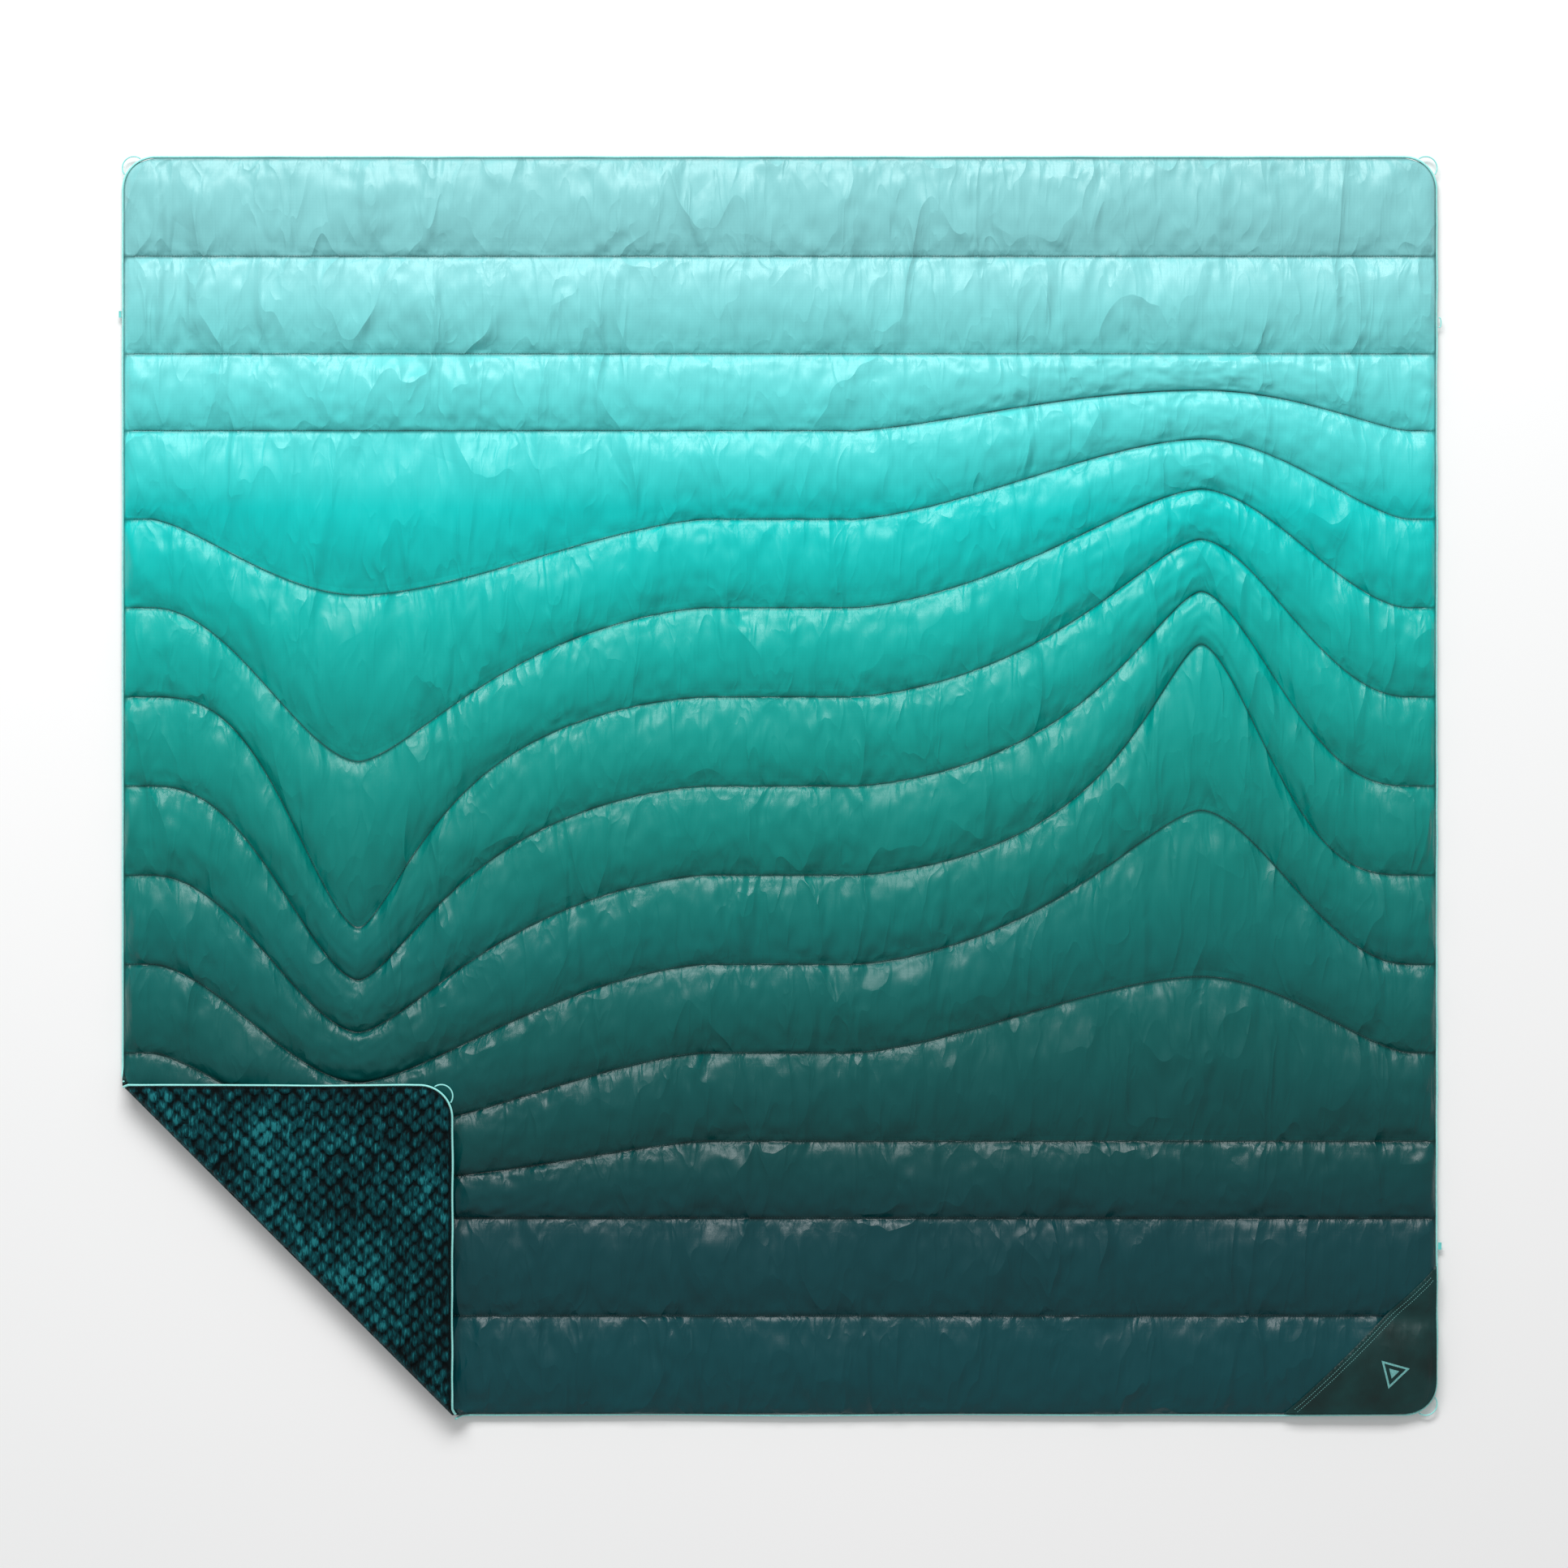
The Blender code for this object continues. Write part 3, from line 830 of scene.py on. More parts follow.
@dataclass(frozen=True)
class PatchFinish:
    """Very dark plain cloth with a soft gloss."""

    dark: str = "01211F"
    light: str = "033B3A"
    crinkle_depth: float = 0.002
    weave_depth: float = 0.00004

    def material(self, effects: Effects) -> bpy.types.Material:
        """Build the material.

        Args:
            effects: The shared node groups.

        Returns:
            The material.
        """
        made, tree, shader = new_material("patch_cloth", Specular_IOR_Level=0.35)
        place = add_node(tree, "TexCoord").outputs["Object"]
        cloud = add_node(tree, "TexNoise", {"Vector": place, "Scale": 14.0, "Detail": 3.0}).outputs["Fac"]
        tree.links.new(
            add_ramp(tree, cloud, ((0.3, self.dark), (0.7, self.light))), shader.inputs["Base Color"])
        gloss = add_node(tree, "MapRange", {0: cloud, 1: 0.3, 2: 0.7, 3: 0.42, 4: 0.52}).outputs[0]
        tree.links.new(gloss, shader.inputs["Roughness"])
        crinkle = effects.place(tree, effects.crinkle, Scale=34.0, Sharpness=1.6)
        weave = effects.place(tree, effects.weave, Thread_Pitch=0.0005, Ripstop_Pitch=0.004)
        creased = add_node(tree, "Bump", {"Height": crinkle.outputs["Height"], "Distance": self.crinkle_depth,
                                          "Strength": 0.5})
        woven = add_node(tree, "Bump", {"Height": weave.outputs["Height"], "Distance": self.weave_depth,
                                        "Strength": 0.4, "Normal": creased.outputs[0]})
        tree.links.new(woven.outputs[0], shader.inputs["Normal"])
        return made


class Wardrobe:
    """Every finish on the blanket, each made once."""

    def __init__(self) -> None:
        """Build the shared effects and the materials."""
        effects = Effects()
        aqua = ("83DFDA", "A8F2EC")
        self.by_slot = {
            Slot.SHELL: ShellFinish().material(effects),
            Slot.LINING: PileFinish().material(effects),
            Slot.PIPING: StrandFinish("piping_tape", *aqua, scale=500.0, roughness=0.45).material(effects),
            Slot.THREAD: StrandFinish("sewing_thread", "0A3A3C", "14504F", scale=900.0).material(effects),
            Slot.CORD: StrandFinish("loop_cord", *aqua, scale=800.0, roughness=0.4).material(effects),
            Slot.PATCH: PatchFinish().material(effects),
            Slot.TAB: StrandFinish("tab_tape", "55C6C2", "7FDAD6", scale=600.0).material(effects),
        }
        self.light_thread = StrandFinish("light_thread", "4F9391", "7FC4C0", scale=900.0).material(effects)

    def dress(self, piece: bpy.types.Object, slot: Slot, body: str,
              material: bpy.types.Material | None = None) -> None:
        """Give a piece its finish, and let it ride on its body.

        Args:
            piece: The piece.
            slot: The record's finish that it takes.
            body: The body that it moves with.
            material: A material to use in place of the slot's own.
        """
        piece.data.materials.clear()
        piece.data.materials.append(material or self.by_slot[slot])
        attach(piece, body)
        LOG.info("%s rides on %s", piece.name, body)


# The quilted shell


@dataclass
class QuiltedShell:
    """The shell over its filling: a cloth sheet sewn down along the seams and blown up between them."""

    quilting: Quilting
    fold: FoldLine
    columns: int = 300
    rows_per_channel: int = 17
    seam_height: float = 0.0105
    underside: float = 0.0084
    least_crown: float = 0.008
    most_crown: float = 0.0165
    hem_rounding: float = 0.03
    spare_cloth: float = 0.035
    lean: float = 0.09
    frames: int = 12
    pressure: float = 1.5
    roughening: float = 0.0012
    seed: int = 7
    crease_width: float = 0.020
    crease_gap: float = 0.0003
    lip_width: float = 0.0082
    slope_start: float = 0.0205
    pucker_below: float = 0.016
    pucker_above: float = 0.007
    pucker_side: float = 0.009
    crown_base: float = 0.010
    crown_per_depth: float = 0.045
    even_rows: float = 0.55
    crowded_rows: float = 0.45
    crown_power: float = 2.4
    crown_fullness: float = 0.75
    unevenness_share: float = 0.3
    lean_from: float = 0.9
    lean_over: float = 0.8
    loose_height: float = 1.15
    on_seam: float = 1e-6
    hold_reach: float = 0.03
    ceiling_softness: float = 0.0015

    def rows(self) -> tuple[np.ndarray, np.ndarray]:
        """Lay out the sheet before it is blown up.

        Returns:
            The points, by row and column, and which rows are seams.
        """
        edge = self.quilting.outline.half_length - self.quilting.inset
        x = np.linspace(-edge, edge, self.columns)
        rows, seams = [], []
        for number in range(self.quilting.channels):
            above, below = self.quilting.seam(number, x), self.quilting.seam(number + 1, x)
            depth = above - below
            crown = np.clip(self.crown_base + self.crown_per_depth * depth, self.least_crown, self.most_crown)
            for step in range(self.rows_per_channel):
                even = step / self.rows_per_channel
                share = self.even_rows * even + self.crowded_rows * (0.5 - 0.5 * math.cos(math.pi * even))
                rise = (1 - abs(2 * share - 1) ** self.crown_power) ** self.crown_fullness
                rows.append((x, above - depth * share, crown * rise))
                seams.append(step == 0)
        rows.append((x, self.quilting.seam(self.quilting.channels, x), 0.0 * x))
        seams.append(True)
        points = np.array(rows).transpose(0, 2, 1)
        points[..., 0] = self.quilting.outline.drawn_in(points[..., 0], points[..., 1], self.quilting.inset)
        side = self.quilting.outline.reach_at(points[..., 1], self.quilting.inset) - np.abs(points[..., 0])
        near = 1 - np.clip(side / self.hem_rounding, 0.0, 1.0)
        points[..., 2] = self.seam_height + points[..., 2] * np.sqrt(1 - near ** 2)
        return points, np.array(seams)

    def roughened(self, points: np.ndarray, held: np.ndarray) -> np.ndarray:
        """Start the puckers off with a small seeded unevenness.

        Args:
            points: The sheet's points, by row and column.
            held: Which points are sewn down.

        Returns:
            The uneven sheet.
        """
        noise = np.random.default_rng(self.seed).normal(0.0, self.roughening, points.shape[:2])
        near = [np.roll(noise, shift, axis) for axis in (0, 1) for shift in (-1, 1)]
        rough = points.copy()
        rough[..., 2] += np.where(held, 0.0, (noise + sum(near)) * self.unevenness_share)
        return rough

    def cut_size(self, points: np.ndarray) -> np.ndarray:
        """Give the shape the cloth would like to have: longer than the seams, and sheared to the left.

        Args:
            points: The sheet's points, by row and column.

        Returns:
            The points of the relaxed cloth.
        """
        x, y, z = points[..., 0], points[..., 1], points[..., 2]
        shear = self.lean * np.clip((self.lean_from - x) / self.lean_over, 0.0, 1.0)
        loose = self.seam_height + (z - self.seam_height) * self.loose_height
        return np.stack([x * (1 + self.spare_cloth) + shear * y, y, loose], -1)

    def gathering(self, points: np.ndarray) -> np.ndarray:
        """Measure how close the cloth is to what gathers it.

        Args:
            points: The sheet's points, by row and column.

        Returns:
            For each point, 1 on a seam or at a side edge and close to 0 away from them.
        """
        x, y = points[..., 0], points[..., 1]
        above, below = np.full_like(y, 1.0), np.full_like(y, 1.0)
        for number in range(self.quilting.channels + 1):
            seam = self.quilting.seam(number, x)
            above = np.where(seam >= y - self.on_seam, np.minimum(above, seam - y), above)
            below = np.where(seam <= y + self.on_seam, np.minimum(below, y - seam), below)
        side = self.quilting.outline.reach_at(y, self.quilting.inset) - np.abs(x)
        reach = np.minimum(np.minimum(np.abs(above) / self.pucker_below, np.abs(below) / self.pucker_above),
                           side / self.pucker_side)
        return np.exp(-reach)

    def blown_up(self, points: np.ndarray, held: np.ndarray) -> np.ndarray:
        """Simulate the cloth: sewn points stay, and the filling's pressure lifts the rest.

        Args:
            points: The sheet's points, by row and column.
            held: Which points are sewn down.

        Returns:
            The settled points, by row and column.
        """
        down, across = held.shape
        sheet = mesh_object(
            "cloth_sheet", self.roughened(points, held).reshape(-1, 3), grid_quads(down, across))
        sheet.shape_key_add(name="Basis")
        relaxed = sheet.shape_key_add(name="relaxed")
        relaxed.data.foreach_set("co", self.cut_size(points).astype(np.float32).ravel())
        relaxed.value = 0.0
        sewn = sheet.vertex_groups.new(name="sewn")
        sewn.add(np.nonzero(held.ravel())[0].tolist(), 1.0, "REPLACE")
        cloth = sheet.modifiers.new("Cloth", "CLOTH")
        settings = cloth.settings
        settings.quality, settings.mass, settings.air_damping = 4, 0.1, 4.0
        settings.tension_stiffness = settings.compression_stiffness = 20.0
        settings.shear_stiffness, settings.bending_stiffness = 8.0, 0.02
        settings.tension_damping = settings.compression_damping = 20.0
        settings.shear_damping, settings.bending_damping = 10.0, 0.5
        settings.vertex_group_mass, settings.pin_stiffness = "sewn", 1.0
        settings.rest_shape_key = relaxed
        settings.use_pressure, settings.uniform_pressure_force = True, self.pressure
        settings.effector_weights.gravity = 0.0
        cloth.collision_settings.use_collision = False
        cloth.collision_settings.use_self_collision = False
        cloth.point_cache.frame_start, cloth.point_cache.frame_end = 1, self.frames
        for number in range(1, self.frames + 1):
            bpy.context.scene.frame_set(number)
        settled = sheet.evaluated_get(bpy.context.evaluated_depsgraph_get()).to_mesh()
        flat = np.empty(len(settled.vertices) * 3, np.float32)
        settled.vertices.foreach_get("co", flat)
        bpy.data.objects.remove(sheet)
        bpy.context.scene.frame_set(1)
        return flat.reshape(down, across, 3).astype(float)

    def settled(self, points: np.ndarray) -> np.ndarray:
        """Hold the crowns down where the folded corner lies on them, and close the crease.

        Args:
            points: One row of x, y and z for each point of the sheet.

        Returns:
            The held points.
        """
        x, y, z = points[:, 0], points[:, 1], points[:, 2]
        beyond = self.fold.beyond(x, y)
        over = self.fold.turned(points)
        spare_x = over[:, 0] + self.quilting.outline.half_length
        spare_y = over[:, 1] + self.quilting.outline.half_width
        covered = smoothstep((np.minimum(spare_x, spare_y) + self.hold_reach) / self.hold_reach)
        covered = np.where(beyond > 0, 1.0, covered)
        ceiling = self.fold.height - self.crease_gap
        z = z * (1 - covered) + capped(z, ceiling, self.ceiling_softness) * covered
        closing = smoothstep(1 - np.abs(beyond) / self.crease_width)
        return np.stack([x, y, z * (1 - closing) + ceiling * closing], -1)

    def sheet(self) -> bpy.types.Object:
        """Make the whole quilted surface, open below.

        Returns:
            The surface as one object, with its seams kept sharp.
        """
        points, seams = self.rows()
        held = np.zeros(points.shape[:2], bool)
        held[seams] = True
        held[:, [0, -1]] = True
        points = self.blown_up(points, held)
        down, across = held.shape
        piece = mesh_object("quilted_sheet", points.reshape(-1, 3), grid_quads(down, across))
        ends = np.empty(len(piece.data.edges) * 2, np.int32)
        piece.data.edges.foreach_get("vertices", ends)
        first, second = ends.reshape(-1, 2).T // across
        crease = piece.data.attributes.new("crease_edge", "FLOAT", "EDGE")
        crease.data.foreach_set("value", ((first == second) & seams[first]).astype(np.float32))
        dye = piece.data.attributes.new("dye_level", "FLOAT", "POINT")
        dye.data.foreach_set("value", points[..., 1].astype(np.float32).ravel())
        # The gathering drives the puckers' bump and the painted shade along the seams and the side edges
        gather = piece.data.attributes.new("gather", "FLOAT", "POINT")
        gather.data.foreach_set("value", self.gathering(points).astype(np.float32).ravel())
        finer = piece.modifiers.new("Finer", "SUBSURF")
        finer.levels = finer.render_levels = 1
        apply_modifiers(piece)
        move_points(piece, self.settled(points_of(piece)))
        return piece

    def part(self, sheet: bpy.types.Object, side: Side, name: str) -> bpy.types.Object:
        """Cut one part off the surface at the fold, and close it round its filling.

        Args:
            sheet: The whole surface.
            side: Which side of the fold to keep.
            name: The part's name.

        Returns:
            The closed part, lying flat.
        """
        piece = sheet.copy()
        piece.data = sheet.data.copy()
        piece.name = piece.data.name = name
        bpy.context.scene.collection.objects.link(piece)
        sign = side.value
        outward = Vector((-1.0, -1.0, 0.0)).normalized() * sign
        cut = self.fold.middle + outward * self.crease_gap
        lip_end = self.crease_gap + self.lip_width
        cut_off(piece, cut, outward * -1)

        def at_crease(place: Vector) -> bool:
            """Say whether a border point is on the cut."""
            return abs(self.fold.beyond(place.x, place.y)) < 1.5 * self.crease_gap

        def lip(place: Vector) -> Vector:
            """Carry the cloth back under the crease, and start the hem's wall."""
            if at_crease(place):
                return place + outward * self.lip_width - Vector((0.0, 0.0, 0.00012))
            return place - Vector((0.0, 0.0, 0.0003))

        def wall(place: Vector) -> Vector:
            """Bring the wall down to the underside, which slopes up where the lining is rolled."""
            behind = abs(self.fold.beyond(place.x, place.y))
            low = place.copy()
            if abs(behind - lip_end) < self.crease_gap / 3:
                low += outward * self.slope_start / 10
                behind = abs(self.fold.beyond(low.x, low.y))
            share = min(1.0, max(0.0, (self.slope_start - behind) / (self.slope_start - lip_end)))
            low.z = self.underside + (self.fold.height - 2 * self.crease_gap - self.underside) * share
            return low

        bends = [(self.fold.middle + outward * distance, outward) for distance in (lip_end, self.slope_start)]
        close_below(piece, (lip, wall), bends)
        if side is Side.CORNER:
            self.fold.turn_over(piece)
        return piece


def cut_off(piece: bpy.types.Object, place: Vector, away: Vector) -> None:
    """Cut a mesh with a plane and drop one side.

    Args:
        piece: The mesh object.
        place: A point on the plane.
        away: The direction of the side that is dropped.
    """
    work = bmesh.new()
    work.from_mesh(piece.data)
    everything = [*work.verts, *work.edges, *work.faces]
    bmesh.ops.bisect_plane(work, geom=everything, dist=1e-6, plane_co=place, plane_no=away, clear_outer=True)
    work.to_mesh(piece.data)
    work.free()


# The pile lining


@dataclass
class PileLining:
    """Fleece under the filling. It is rolled round the fold, and its tufts point away from the filling."""

    outline: Outline
    fold: FoldLine
    inset: float = 0.004
    inner_radius: float = 0.016
    base_radius: float = 0.0203
    tuft_length: float = 0.0035
    tuft_pitch: float = 0.0165
    tuft_spread: float = 0.36
    jitter: float = 0.30
    roll_end: float = math.radians(87.5)
    main_step: float = 0.0066
    corner_rows: int = 165
    corner_columns: int = 290

    def tufts(self, x: np.ndarray, y: np.ndarray) -> np.ndarray:
        """Find how tall the pile stands: staggered rows of uneven tufts that lean across the cloth.

        Args:
            x: The places' x on the flat cloth.
            y: The places' y.

        Returns:
            The height at each place, from 0 in a gap to 1 at a tip.
        """
        along = (x + y) / math.sqrt(2) / self.tuft_pitch
        across = (y - x) / math.sqrt(2) / self.tuft_pitch
        height = np.zeros_like(along)
        for step_along in (-1, 0, 1):
            for step_across in (-1, 0, 1):
                row = np.floor(along) + step_along
                column = np.floor(across) + step_across
                chance = np.sin(row * 127.1 + column * 311.7) * 4375.85
                chance -= np.floor(chance)
                other = np.sin(row * 269.5 + column * 183.3) * 3717.31
                other -= np.floor(other)
                off_along = along - row - 0.5 - self.jitter * (chance - 0.5)
                off_across = across - column - 0.5 - self.jitter * (other - 0.5)
                distance = off_along ** 2 + off_across ** 2
                dome = np.sqrt(np.clip(1 - distance / self.tuft_spread, 0.0, 1.0)) * (0.75 + 0.25 * other)
                height = np.maximum(height, dome)
        return height

    def main_grid(self) -> tuple[np.ndarray, np.ndarray]:
        """Lay out the main part's cloth, which ends at the fold.

        Returns:
            The x and the y of each point, by row and column.
        """
        top = self.outline.half_width - self.inset
        reach = self.outline.half_length - self.inset
        down = round(2 * top / self.main_step)
        across = round(2 * reach / self.main_step)
        y = np.linspace(top, -top, down)
        right = self.outline.reach_at(y, self.inset)
        left = np.maximum(-right, self.fold.total - y)
        share = np.linspace(0.0, 1.0, across)
        x = left[:, None] + (right - left)[:, None] * share
        return x, np.repeat(y[:, None], across, 1)

    def corner_grid(self) -> tuple[np.ndarray, np.ndarray]:
        """Lay out the corner's cloth in rows that run along the fold.

        Returns:
            The x and the y of each point, by row and column.
        """
        middle = self.fold.middle
        left = (-self.outline.half_length + self.inset - middle.x) * math.sqrt(2)
        right = (middle.y + self.outline.half_width - self.inset) * math.sqrt(2)
        centre = self.outline.corner_centre(-1, -1)
        round_at = float(self.fold.beyond(centre.x, centre.y))
        radius = self.outline.corner_radius - self.inset
        furthest = round_at + radius - 0.0003
        beyond = np.linspace(0.0, furthest, self.corner_rows)
        half = (right - left) / 2 - beyond
        rounded = np.sqrt(np.clip(radius ** 2 - (beyond - round_at) ** 2, 0.0, None))
        half = np.where(beyond > round_at + radius / math.sqrt(2), rounded, half)
        share = np.linspace(-1.0, 1.0, self.corner_columns)
        along = (left + right) / 2 + half[:, None] * share
        x = middle.x + (along - beyond[:, None]) / math.sqrt(2)
        y = middle.y - (along + beyond[:, None]) / math.sqrt(2)
        return x, y

    def rolled(self, x: np.ndarray, y: np.ndarray, radius: np.ndarray) -> np.ndarray:
        """Place points of the cloth, rolled round the fold where they are close to it.

        Args:
            x: The points' x on the flat cloth.
            y: The points' y.
            radius: How far each is from the middle of the roll, or below the fold's height.

        Returns:
            One row of x, y and z for each point.
        """
        beyond = self.fold.beyond(x, y)
        roll = self.fold.roll_radius
        angle = self.roll_end * np.clip(1 - np.abs(beyond) / roll, 0.0, 1.0)
        now = np.where(np.abs(beyond) < roll, roll - radius * np.sin(angle), np.abs(beyond))
        shift = (now - np.abs(beyond)) * np.sign(np.where(beyond == 0, self._side(beyond), beyond))
        height = self.fold.height - radius * np.cos(angle)
        step = shift / math.sqrt(2)
        return np.stack([x - step, y - step, height], -1).reshape(-1, 3)

    @staticmethod
    def _side(beyond: np.ndarray) -> float:
        """Tell which side of the fold most points are on, as 1 or -1."""
        return 1.0 if float(np.mean(beyond)) > 0 else -1.0

    def part(self, side: Side, name: str) -> bpy.types.Object:
        """Make one part of the lining, closed all round.

        Args:
            side: Which side of the fold it is on.
            name: Its name.

        Returns:
            The part, with the corner turned over.
        """
        x, y = self.main_grid() if side is Side.MAIN else self.corner_grid()
        down, across = x.shape
        beyond = self.fold.beyond(x, y) * side.value
        x = np.where(np.abs(beyond) < 1e-7, x - side.value * 1e-6, x)
        tuft = self.tufts(x, y)
        edge = np.minimum(1.0, 0.25 + 0.75 * smoothstep(self._from_edge(x, y) / 0.006))
        outer = self.rolled(x, y, self.base_radius + self.tuft_length * tuft * edge)
        inner = self.rolled(x, y, np.full_like(x, self.inner_radius))
        count = down * across
        quads = grid_quads(down, across)
        number = np.arange(count).reshape(down, across)
        rim = np.concatenate([number[0, :-1], number[:-1, -1], number[-1, :0:-1], number[:0:-1, 0]])
        after = np.roll(rim, -1)
        walls = np.stack([rim, after, after + count, rim + count], -1)
        faces = np.concatenate([quads[:, ::-1], quads + count, walls])
        piece = mesh_object(name, np.concatenate([outer, inner]), faces)
        self._merge_flat_top(piece, count)
        # The tuft height also sets the fleece's colour: painted shade in the gaps and painted highlight at
        # the tips
        height = np.zeros(len(piece.data.vertices), np.float32)
        height[:count] = (tuft * edge).ravel()
        shade = piece.data.attributes.new("tuft", "FLOAT", "POINT")
        shade.data.foreach_set("value", height)
        if side is Side.CORNER:
            self.fold.turn_over(piece)
        return piece

    def _from_edge(self, x: np.ndarray, y: np.ndarray) -> np.ndarray:
        """Measure how far points are from the cloth's cut edges.

        Args:
            x: The points' x.
            y: The points' y.

        Returns:
            The distances.
        """
        side = self.outline.reach_at(y, self.inset) - np.abs(x)
        end = self.outline.half_width - self.inset - np.abs(y)
        return np.minimum(side, end)

    def _merge_flat_top(self, piece: bpy.types.Object, first: int) -> None:
        """Merge the flat faces against the filling into one.

        Args:
            piece: The lining part.
            first: The number of the first point on that side.
        """
        level = self.fold.height - self.inner_radius
        work = bmesh.new()
        work.from_mesh(piece.data)
        flat = [face for face in work.faces
                if all(point.index >= first and abs(point.co.z - level) < 1e-6 for point in face.verts)]
        bmesh.ops.dissolve_faces(work, faces=flat, use_verts=True)
        bmesh.ops.recalc_face_normals(work, faces=work.faces)
        work.to_mesh(piece.data)
        work.free()


# Edging, cords and stitches


@dataclass
class Piping:
    """The round aqua edging. Its ends rise at the fold, where the two parts meet."""

    outline: Outline
    fold: FoldLine
    diameter: float = 0.0035
    loop_gap: float = 0.0004
    height: float = 0.0075
    rise_steps: int = 12
    steepest: float = math.radians(87)
    tip_radius: float = 0.012
    waviness: float = 0.0005
    seed: int = 3

    def rising_end(self, on_edge: Vector, edge: Vector, side: Side) -> list[tuple[float, float, float]]:
        """Find the last points at one end of the fold, rising along an edge.

        Args:
            on_edge: A point on the line that the edging follows.
            edge: The direction of that line.
            side: The part that the end belongs to.

        Returns:
            The points, from the level stretch up to the fold.
        """
        meet = on_edge + edge * (self.fold.total - on_edge.x - on_edge.y)
        inward = Vector((-edge.y, -edge.x)) if edge.x else Vector((edge.y, edge.x))
        rise = self.fold.height - self.height
        points = []
        for step in range(self.rise_steps + 1):
            angle = self.steepest * step / self.rise_steps
            level = self.fold.height * math.sqrt(2) * (1 - math.sin(angle))
            place = meet - edge * side.value * (level + self.tip_radius * math.sin(angle) / 3)
            place += inward.normalized() * self.tip_radius * max(0.0, math.sin(angle) - 0.7)
            points.append((place.x, place.y, self.fold.height - rise * math.cos(angle)))
        return points

    def path(self, side: Side) -> np.ndarray:
        """Find the edging's centre line.

        Args:
            side: The part that it runs round.

        Returns:
            Its points, lying flat.
        """
        inset = self.diameter / 2 + self.loop_gap
        ring = [p for p in self.outline.ring(inset) if self.fold.beyond(p.x, p.y) * side.value > 0]
        level = [(p.x, p.y, self.height) for p in ring]
        low_edge = Vector((0.0, inset - self.outline.half_width))
        left_edge = Vector((inset - self.outline.half_length, 0.0))
        bottom = self.rising_end(low_edge, Vector((1.0, 0.0)), side)
        left = self.rising_end(left_edge, Vector((0.0, 1.0)), side)
        whole = bottom[::-1] + level + left if side is Side.MAIN else left[::-1] + level + bottom
        return self._wavy(np.array(whole))

    def _wavy(self, corners: np.ndarray, spacing: float = 0.008, shortest: float = 0.02) -> np.ndarray:
        """Add points along the straight stretches, and let them wander a little.

        Args:
            corners: The centre line's own points.
            spacing: How far apart the added points are.
            shortest: The shortest stretch that gets any.

        Returns:
            The fuller line.
        """
        chance = np.random.default_rng(self.seed)
        points = []
        for start, end in zip(corners[:-1], corners[1:]):
            points.append(start)
            length = float(np.linalg.norm(end - start))
            if length < shortest:
                continue
            count = int(length / spacing)
            share = np.arange(1, count)[:, None] / count
            waves = sum(chance.normal() * np.sin(math.pi * share * turns * length) / math.sqrt(turns)
                        for turns in (3, 5, 8, 13, 21))
            across = np.array([start[1] - end[1], end[0] - start[0], 0.0]) / length
            ends = np.minimum(share, 1 - share) * length
            held = smoothstep(ends / 0.03)
            points.extend(start + (end - start) * share + across * waves * held * self.waviness)
        points.append(corners[-1])
        return np.array(points)

    def part(self, side: Side, name: str) -> bpy.types.Object:
        """Make the edging of one part.

        Args:
            side: The part that it runs round.
            name: Its name.

        Returns:
            The edging, with the corner's turned over.
        """
        piece = tube(name, self.path(side).tolist(), self.diameter, sides=10)
        if side is Side.CORNER:
            self.fold.turn_over(piece)
        return piece


@dataclass
class CornerLoop:
    """An open ring of cord round a corner, from the piping out and back to it."""

    outline: Outline
    diameter: float = 0.0022
    radius: float = 0.0175
    inset: float = 0.005
    end_gap: float = 0.0009
    height: float = 0.0075
    points: int = 41

    def path(self, sign_x: int, sign_y: int) -> np.ndarray:
        """Find the cord's centre line.

        Args:
            sign_x: 1 for a right corner and -1 for a left one.
            sign_y: 1 for an upper corner and -1 for a lower one.

        Returns:
            Its points, lying flat.
        """
        diagonal = Vector((sign_x, sign_y)).normalized()
        off = self.outline.corner_radius - self.inset
        end = self.outline.corner_radius + self.end_gap
        middle = self.outline.corner_centre(sign_x, sign_y) + diagonal * off
        spread = (off ** 2 + self.radius ** 2 - end ** 2) / (2 * off * self.radius)
        half_turn = math.pi - math.acos(spread)
        places = []
        for step in range(self.points):
            turn = half_turn * (2 * step / (self.points - 1) - 1)
            reach = Matrix.Rotation(turn, 2) @ diagonal * self.radius
            places.append((*(middle + reach), self.height))
        return np.array(places)


